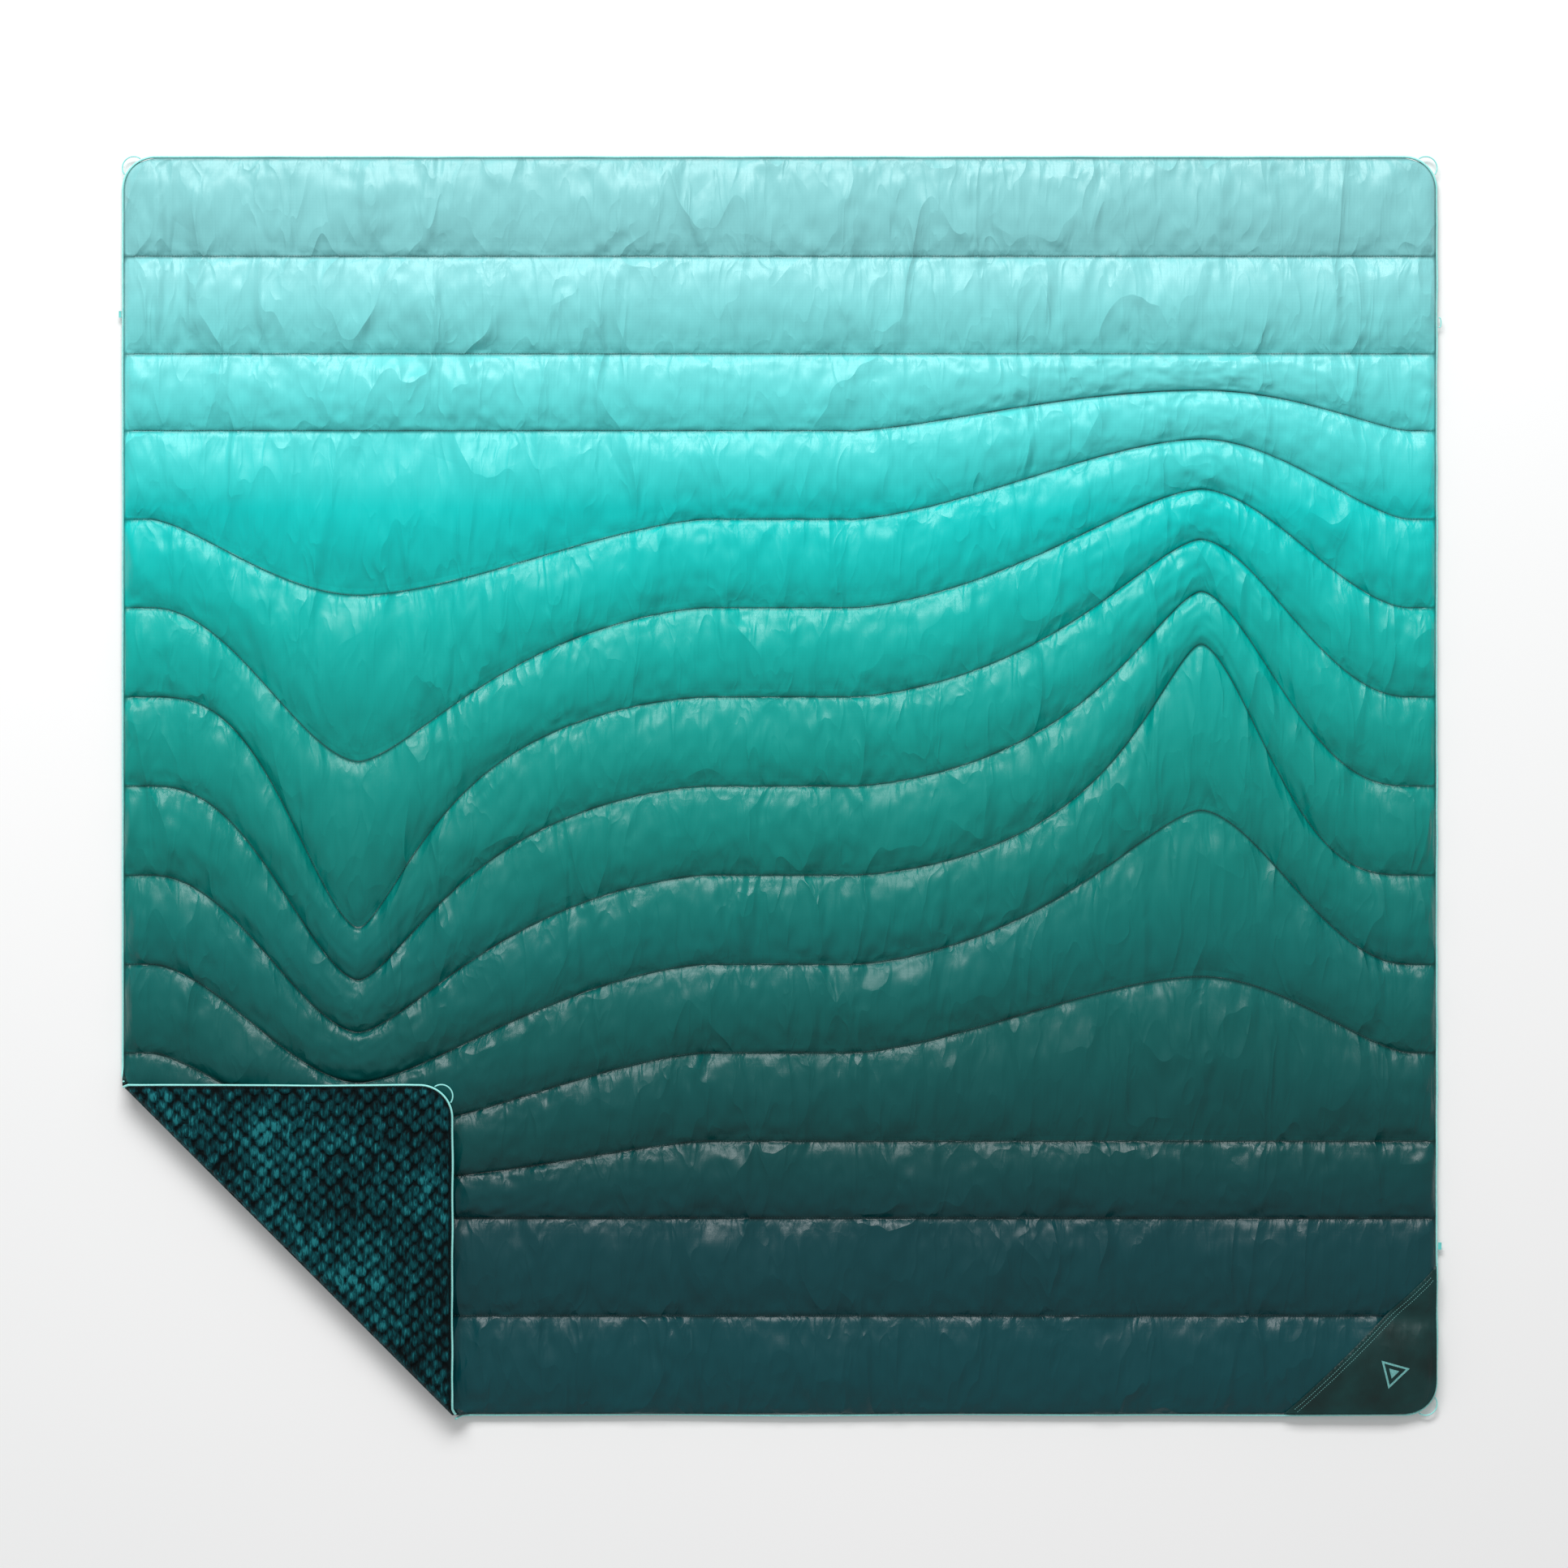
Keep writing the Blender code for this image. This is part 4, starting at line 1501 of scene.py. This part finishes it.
@dataclass(frozen=True)
class Stitching:
    """A run of short thread stitches."""

    pitch: float = 0.0042
    length: float = 0.0031
    diameter: float = 0.0009
    sides: int = 5

    def run(self, name: str, line: np.ndarray) -> bpy.types.Object:
        """Sew a line: one stitch is shaped, and copied along it.

        Args:
            name: The line's name.
            line: Its points, lying on the cloth.

        Returns:
            All of its stitches as one piece.
        """
        one, faces = self._stitch()
        steps = np.linalg.norm(np.diff(line, axis=0), axis=1)
        travelled = np.concatenate([[0.0], np.cumsum(steps)])
        count = int(travelled[-1] / self.pitch)
        starts = (np.arange(count) + 0.2) * self.pitch
        middle = self._at(line, travelled, starts + self.length / 2)
        ahead = self._at(line, travelled, starts + self.length) - self._at(line, travelled, starts)
        ahead /= np.linalg.norm(ahead, axis=1)[:, None]
        across = np.cross([0.0, 0.0, 1.0], ahead)
        across /= np.linalg.norm(across, axis=1)[:, None]
        up = np.cross(ahead, across)
        axes = np.stack([ahead, across, up], 1)
        points = middle[:, None, :] + np.einsum("pk,nkc->npc", one, axes)
        every_face = [[number + start for number in face]
                      for start in range(0, count * len(one), len(one)) for face in faces]
        return mesh_object(name, points.reshape(-1, 3), every_face)

    @staticmethod
    def _at(line: np.ndarray, travelled: np.ndarray, places: np.ndarray) -> np.ndarray:
        """Find the points at some distances along a line.

        Args:
            line: The line's points.
            travelled: How far along the line each of them is.
            places: The distances.

        Returns:
            The points.
        """
        return np.stack([np.interp(places, travelled, line[:, axis]) for axis in range(3)], -1)

    def _stitch(self) -> tuple[np.ndarray, list[tuple[int, ...]]]:
        """Shape one stitch, which dives into the cloth at both ends.

        Returns:
            Its points and its faces.
        """
        half, radius = self.length / 2, self.diameter / 2
        rings = [[(along, radius * math.cos(math.tau * side / self.sides),
                   radius * math.sin(math.tau * side / self.sides)) for side in range(self.sides)]
                 for along in (-half * 0.55, half * 0.55)]
        points = [(-half, 0.0, -radius)] + rings[0] + rings[1] + [(half, 0.0, -radius)]
        faces = []
        for side in range(self.sides):
            after = (side + 1) % self.sides
            near, far = 1, 1 + self.sides
            faces.append((0, near + after, near + side))
            faces.append((near + side, near + after, far + after, far + side))
            faces.append((len(points) - 1, far + side, far + after))
        return np.array(points), faces


@dataclass
class SeamStitches:
    """The stitches along the quilting, left out under the patch and close to the fold."""

    quilting: Quilting
    fold: FoldLine
    seam_height: float = 0.0105
    lift: float = 0.0003
    side_margin: float = 0.014
    fold_margin: float = 0.030
    patch_margin: float = 0.010
    step: float = 0.004

    def line(self, number: int, side: Side, patch: "CornerPatch") -> np.ndarray:
        """Find where a seam's stitches run on one part.

        Args:
            number: The seam, counted from the upper edge.
            side: The part.
            patch: The patch that they stop at.

        Returns:
            The points of the line, lying flat.
        """
        reach = self.quilting.outline.half_length - self.quilting.inset - self.side_margin
        x = np.arange(-reach, reach, self.step)
        y = self.quilting.seam(number, x)
        keep = self.fold.beyond(x, y) * side.value > self.fold_margin
        keep &= patch.outside_by(x, y) > self.patch_margin
        height = np.full(keep.sum(), self.seam_height + self.lift)
        return np.stack([x[keep], y[keep], height], -1)


# The patch, its mark and the edge tabs


@dataclass
class CornerPatch:
    """The plain dark patch over the quilting at the lower right corner."""

    outline: Outline
    inset: float = 0.004
    leg_x: float = 0.234
    leg_y: float = 0.228
    thickness: float = 0.0008
    lift: float = 0.0011
    flattening: int = 60
    stitch_insets: tuple[float, float] = (0.006, 0.012)
    stitch_end: float = 0.016
    mark_centre: tuple[float, float] = (0.940, -0.899)
    mark_radius: float = 0.026

    @property
    def corner(self) -> Vector:
        """The square corner that the patch's legs start from."""
        return Vector((self.outline.half_length - self.inset, self.inset - self.outline.half_width))

    @property
    def slant(self) -> Vector:
        """The direction of the long edge, from the lower end to the upper."""
        return Vector((self.leg_x, self.leg_y)).normalized()

    def outside_by(self, x: np.ndarray, y: np.ndarray) -> np.ndarray:
        """Measure how far points are outside the long edge.

        Args:
            x: The points' x.
            y: The points' y.

        Returns:
            The distances, negative under the patch.
        """
        across = Vector((-self.slant.y, self.slant.x))
        return (x - self.corner.x + self.leg_x) * across.x + (y - self.corner.y) * across.y

    def cloth(self, sheet: bpy.types.Object) -> bpy.types.Object:
        """Cut the patch to lie on the quilted surface, flatter than what is under it.

        Args:
            sheet: The whole quilted surface.

        Returns:
            The patch, closed all round.
        """
        piece = sheet.copy()
        piece.data = sheet.data.copy()
        piece.name = piece.data.name = "corner_patch_cloth"
        bpy.context.scene.collection.objects.link(piece)
        across = Vector((-self.slant.y, self.slant.x, 0.0))
        start = Vector((self.corner.x - self.leg_x, self.corner.y, 0.0))
        cut_off(piece, start, across)
        before = points_of(piece)
        work = bmesh.new()
        work.from_mesh(piece.data)
        for _ in range(self.flattening):
            bmesh.ops.smooth_vert(work, verts=work.verts, factor=0.5, use_axis_z=True)
        work.to_mesh(piece.data)
        work.free()
        after = points_of(piece)
        hem = 0.0004 * smoothstep(1 + self.outside_by(before[:, 0], before[:, 1]) / self.stitch_insets[1])
        before[:, 2] = np.maximum(after[:, 2], before[:, 2]) + self.lift + hem
        move_points(piece, before)
        thick = piece.modifiers.new("Thickness", "SOLIDIFY")
        thick.thickness, thick.offset = self.thickness, -1.0
        apply_modifiers(piece)
        return piece

    def stitch_line(self, cloth: bpy.types.Object, inset: float) -> np.ndarray:
        """Find where a line of stitches lies on the patch.

        Args:
            cloth: The patch.
            inset: How far the line is inside the long edge.

        Returns:
            The points of the line.
        """
        surface = BVHTree.FromPolygons([v.co for v in cloth.data.vertices],
                                       [tuple(p.vertices) for p in cloth.data.polygons])
        inward = Vector((self.slant.y, -self.slant.x)) * inset
        start = Vector((self.corner.x - self.leg_x, self.corner.y)) + inward + self.slant * self.stitch_end
        length = math.hypot(self.leg_x, self.leg_y) - 2 * self.stitch_end
        points = []
        for step in range(161):
            place = start + self.slant * length * step / 160
            hit = surface.ray_cast(Vector((*place, 1.0)), Vector((0.0, 0.0, -1.0)))[0]
            if hit is not None:
                points.append((hit.x, hit.y, hit.z + 0.0002))
        return np.array(points)

    def mark(self, cloth: bpy.types.Object) -> bpy.types.Object:
        """Model the small printed tent: an open triangle with a door flap inside it.

        Args:
            cloth: The patch that it lies on.

        Returns:
            The mark.
        """
        nothing_selected()
        turn = math.atan2(self.slant.y, self.slant.x)
        place = (*self.mark_centre, 0.03)
        bpy.ops.mesh.primitive_circle_add(vertices=3, radius=self.mark_radius, fill_type="NGON",
                                          location=place,
                                          rotation=(0.0, 0.0, turn))
        piece = bpy.context.view_layer.objects.active
        piece.name = piece.data.name = "patch_tent_mark"
        bpy.ops.object.mode_set(mode="EDIT")
        bpy.ops.mesh.select_all(action="SELECT")
        bpy.ops.mesh.inset(thickness=0.0030)
        bpy.ops.mesh.delete(type="ONLY_FACE")
        bpy.ops.mesh.primitive_circle_add(vertices=3, radius=self.mark_radius * 0.36, fill_type="NGON",
                                          location=place, rotation=(0.0, 0.0, turn))
        bpy.ops.mesh.select_all(action="SELECT")
        bpy.ops.mesh.subdivide(number_cuts=7)
        bpy.ops.mesh.quads_convert_to_tris()
        bpy.ops.object.mode_set(mode="OBJECT")
        apply_place(piece)
        laid = piece.modifiers.new("Laid", "SHRINKWRAP")
        laid.target, laid.wrap_method = cloth, "PROJECT"
        laid.use_project_z, laid.use_negative_direction, laid.use_positive_direction = True, True, False
        laid.offset = 0.0005
        thick = piece.modifiers.new("Thickness", "SOLIDIFY")
        thick.thickness, thick.offset = 0.0003, -1.0
        apply_modifiers(piece)
        return piece


@dataclass
class EdgeTab:
    """A short folded tape that stands out from a side edge."""

    name: str
    node: str
    fold_segments: int = 4
    ribs: int = 5
    rib_depth: float = 0.00012

    def build(self) -> bpy.types.Object:
        """Model the tab from the place and the size of its solid.

        Returns:
            The tab.
        """
        low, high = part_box(self.node)
        middle, size = (low + high) / 2, high - low
        outer = 1.0 if middle.x > 0 else -1.0
        nothing_selected()
        bpy.ops.mesh.primitive_cube_add(size=1.0, location=middle, scale=size)
        piece = bpy.context.view_layer.objects.active
        piece.name = piece.data.name = self.name
        apply_place(piece)
        self._round_fold(piece, middle.x + outer * size.x / 2, size.z)
        self._add_ribs(piece, size)
        soft = piece.modifiers.new("Soft", "BEVEL")
        soft.width, soft.segments, soft.limit_method = size.z * 0.08, 2, "ANGLE"
        apply_modifiers(piece)
        piece.data.shade_smooth()
        return piece

    def _round_fold(self, piece: bpy.types.Object, end: float, height: float) -> None:
        """Round the outer end, where the tape is folded back.

        Args:
            piece: The tab.
            end: The x of its outer end.
            height: How thick it is.
        """
        for edge in piece.data.edges:
            places = [piece.data.vertices[number].co for number in edge.vertices]
            level = abs(places[0].z - places[1].z) < 1e-6
            edge.select = level and all(abs(place.x - end) < 1e-6 for place in places)
        for part in (*piece.data.polygons, *piece.data.vertices):
            part.select = False
        alone(piece)
        bpy.ops.object.mode_set(mode="EDIT")
        bpy.ops.mesh.select_mode(type="EDGE")
        bpy.ops.mesh.bevel(offset=height * 0.45, segments=self.fold_segments)
        bpy.ops.object.mode_set(mode="OBJECT")

    def _add_ribs(self, piece: bpy.types.Object, size: Vector) -> None:
        """Press the tape's woven ribs into its sides.

        Args:
            piece: The tab.
            size: Its length, width and height.
        """
        work = bmesh.new()
        work.from_mesh(piece.data)
        low = min(point.co.y for point in work.verts)
        for number in range(1, 2 * self.ribs):
            cut = Vector((0.0, low + size.y * number / (2 * self.ribs), 0.0))
            everything = [*work.verts, *work.edges, *work.faces]
            made = bmesh.ops.bisect_plane(work, geom=everything, plane_co=cut, plane_no=(0.0, 1.0, 0.0))
            middle = sum((p.co.z for p in work.verts)) / len(work.verts)
            if number % 2:
                for point in (part for part in made["geom_cut"] if isinstance(part, bmesh.types.BMVert)):
                    point.co.z += self.rib_depth * (1 if point.co.z < middle else -1)
        work.to_mesh(piece.data)
        work.free()


# The studio


@dataclass
class Studio:
    """A pale floor, plain soft light and a camera that looks straight down."""

    centre: tuple[float, float] = (0.0066, 0.0029)
    view_width: float = 2.411
    lens: float = 85.0
    sensor: float = 36.0
    floor_size: float = 30.0
    world_strength: float = 0.46

    def camera(self, level: float) -> None:
        """Set the camera over the blanket.

        Args:
            level: The height that its view is measured at.
        """
        data = bpy.data.cameras.new("camera")
        data.lens, data.sensor_width = self.lens, self.sensor
        data.clip_end = 100.0
        camera = bpy.data.objects.new("camera", data)
        camera.location = (*self.centre, level + self.view_width * self.lens / self.sensor)
        bpy.context.scene.collection.objects.link(camera)
        bpy.context.scene.camera = camera

    def floor(self) -> None:
        """Lay the floor, a little below the pile's tips."""
        nothing_selected()
        bpy.ops.mesh.primitive_plane_add(size=self.floor_size, location=(0.0, 0.0, -0.0005))
        floor = bpy.context.view_layer.objects.active
        floor.name = "studio_floor"
        made, tree, shader = new_material("studio_paper", Roughness=0.9)
        place = add_node(tree, "TexCoord").outputs["Object"]
        cloud = add_node(tree, "TexNoise", {"Vector": place, "Scale": 0.5}).outputs["Fac"]
        colour = add_ramp(tree, cloud, ((0.3, "F6F7F7"), (0.7, "FAFAFA")))
        tree.links.new(colour, shader.inputs["Base Color"])
        floor.data.materials.append(made)

    @staticmethod
    def softbox(name: str, place: Sequence[float], size: tuple[float, float], tilt: float,
                power: float) -> None:
        """Hang a soft light.

        Args:
            name: Its name.
            place: Where it hangs.
            size: Its width and depth.
            tilt: How far it is turned about X, in degrees, from pointing straight down.
            power: Its power, in watts.
        """
        data = bpy.data.lights.new(name, "AREA")
        data.shape = "RECTANGLE"
        data.size, data.size_y = size
        data.energy = power
        light = bpy.data.objects.new(name, data)
        light.location = place
        light.rotation_euler = (math.radians(tilt), 0.0, 0.0)
        light.visible_camera = False
        bpy.context.scene.collection.objects.link(light)

    def set_up(self, level: float) -> None:
        """Build the whole studio.

        Args:
            level: The height that the camera's view is measured at.
        """
        self.camera(level)
        self.floor()
        self.softbox("key_light", (-1.0, 6.2, 4.9), (6.0, 2.6), -52.0, 640.0)
        world = bpy.data.worlds.new("studio_world")
        world.use_nodes = True
        background = world.node_tree.nodes["Background"]
        background.inputs["Color"].default_value = (1.0, 1.0, 1.0, 1.0)
        background.inputs["Strength"].default_value = self.world_strength
        bpy.context.scene.world = world
        bpy.context.scene.view_settings.view_transform = "Standard"


# The blanket


class CampBlanket:
    """The whole blanket: it builds each sub-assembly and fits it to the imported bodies."""

    def __init__(self) -> None:
        """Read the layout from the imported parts."""
        _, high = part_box("main_piping")
        fold = next(joint for joint in frame["joints"] if joint["name"] == "corner_fold")
        self.outline = Outline(half_length=high.x, half_width=high.y)
        self.fold = FoldLine(middle=Vector(fold["pos_m"]))
        self.quilting = Quilting(self.outline)
        self.patch = CornerPatch(self.outline)
        self.wardrobe = Wardrobe()
        LOG.info("outline %.3f by %.3f m", 2 * high.x, 2 * high.y)

    def body(self, side: Side) -> str:
        """Name the body that a part rides on."""
        return "blanket" if side is Side.MAIN else "folded_corner"

    def add_cords(self) -> None:
        loop = CornerLoop(self.outline)
        corners = {"loop_upper_left": (-1, 1), "loop_upper_right": (1, 1), "loop_lower_right": (1, -1),
                   "loop_folded_corner": (-1, -1)}
        for node, signs in corners.items():
            path = loop.path(*signs)
            if node == "loop_folded_corner":
                path = self.fold.turned(path)
            piece = tube(f"{node}_cord", path.tolist(), loop.diameter, sides=12)
            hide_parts(node)
            self.wardrobe.dress(piece, Slot.CORD, node)

    def add_shell(self) -> bpy.types.Object:
        """Make the quilted shell's two parts.

        Returns:
            The whole quilted surface that they were cut from.
        """
        shell = QuiltedShell(self.quilting, self.fold)
        sheet = shell.sheet()
        for side in Side:
            prefix = side.name.lower()
            piece = shell.part(sheet, side, f"{prefix}_quilt")
            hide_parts(f"{prefix}_shell", f"{prefix}_insulation")
            self.wardrobe.dress(piece, Slot.SHELL, self.body(side))
        return sheet

    def add_lining(self) -> None:
        lining = PileLining(self.outline, self.fold)
        length = 2 * (self.outline.half_length - lining.inset)
        width = 2 * (self.outline.half_width - lining.inset)
        tip = -self.outline.half_length - self.outline.half_width + 2 * lining.inset
        leg = self.fold.total - tip
        corner_area = leg ** 2 / 2
        cuts = {Side.MAIN: ((length, width), length * width - corner_area, "laid"),
                Side.CORNER: ((leg, leg), corner_area, "folded")}
        for side, (flat, area, held) in cuts.items():
            prefix = side.name.lower()
            piece = lining.part(side, f"{prefix}_fleece")
            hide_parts(f"{prefix}_lining")
            self.wardrobe.dress(piece, Slot.LINING, self.body(side))

    def add_piping(self) -> None:
        """Make the edging's two parts."""
        piping = Piping(self.outline, self.fold)
        for side in Side:
            prefix = side.name.lower()
            piece = piping.part(side, f"{prefix}_edge_piping")
            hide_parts(f"{prefix}_piping")
            self.wardrobe.dress(piece, Slot.PIPING, self.body(side))

    def add_seam_stitches(self) -> None:
        """Sew every seam, in two runs where it crosses the fold."""
        seams = SeamStitches(self.quilting, self.fold)
        stitching = Stitching()
        for side in Side:
            for number in range(1, self.quilting.channels):
                node = f"{side.name.lower()}_seam_{number:02d}"
                if node not in frame["nodes"]:
                    continue
                line = seams.line(number, side, self.patch)
                piece = stitching.run(f"{node}_stitches", line)
                if side is Side.CORNER:
                    self.fold.turn_over(piece)
                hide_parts(node)
                self.wardrobe.dress(piece, Slot.THREAD, self.body(side))

    def add_patch(self, sheet: bpy.types.Object) -> None:
        """Make the patch with its stitches and its mark.

        Args:
            sheet: The whole quilted surface, which this takes away at the end.
        """
        cloth = self.patch.cloth(sheet)
        for number, inset in enumerate(self.patch.stitch_insets, start=1):
            stitches = Stitching(pitch=0.0038, length=0.0029, diameter=0.0008)
            piece = stitches.run(f"patch_stitches_{number}", self.patch.stitch_line(cloth, inset))
            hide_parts(f"patch_stitch_{number}")
            self.wardrobe.dress(piece, Slot.THREAD, "blanket", self.wardrobe.light_thread)
        mark = self.patch.mark(cloth)
        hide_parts("patch_emblem")
        self.wardrobe.dress(mark, Slot.THREAD, "blanket", self.wardrobe.light_thread)
        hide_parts("corner_patch")
        self.wardrobe.dress(cloth, Slot.PATCH, "blanket")
        bpy.data.objects.remove(sheet)

    def add_edge_pieces(self) -> None:
        """Make the two tabs, and finish the short cord loop between them."""
        for node in ("clip_tab", "label_tab"):
            piece = EdgeTab(f"{node}_tape", node).build()
            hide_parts(node)
            self.wardrobe.dress(piece, Slot.TAB, "blanket")
        cape_loop = frame["nodes"]["cape_loop"]
        cape_loop.data.materials.clear()
        cape_loop.data.materials.append(self.wardrobe.by_slot[Slot.CORD])
        LOG.info("cape_loop keeps its own shape")


def main() -> None:
    """Build the studio and the blanket."""
    logging.basicConfig(level=logging.INFO, format="%(name)s: %(message)s")
    Studio().set_up(level=Piping.height)
    blanket = CampBlanket()
    blanket.add_cords()
    sheet = blanket.add_shell()
    blanket.add_lining()
    blanket.add_piping()
    blanket.add_seam_stitches()
    blanket.add_patch(sheet)
    blanket.add_edge_pieces()


if __name__ == "__main__":
    main()
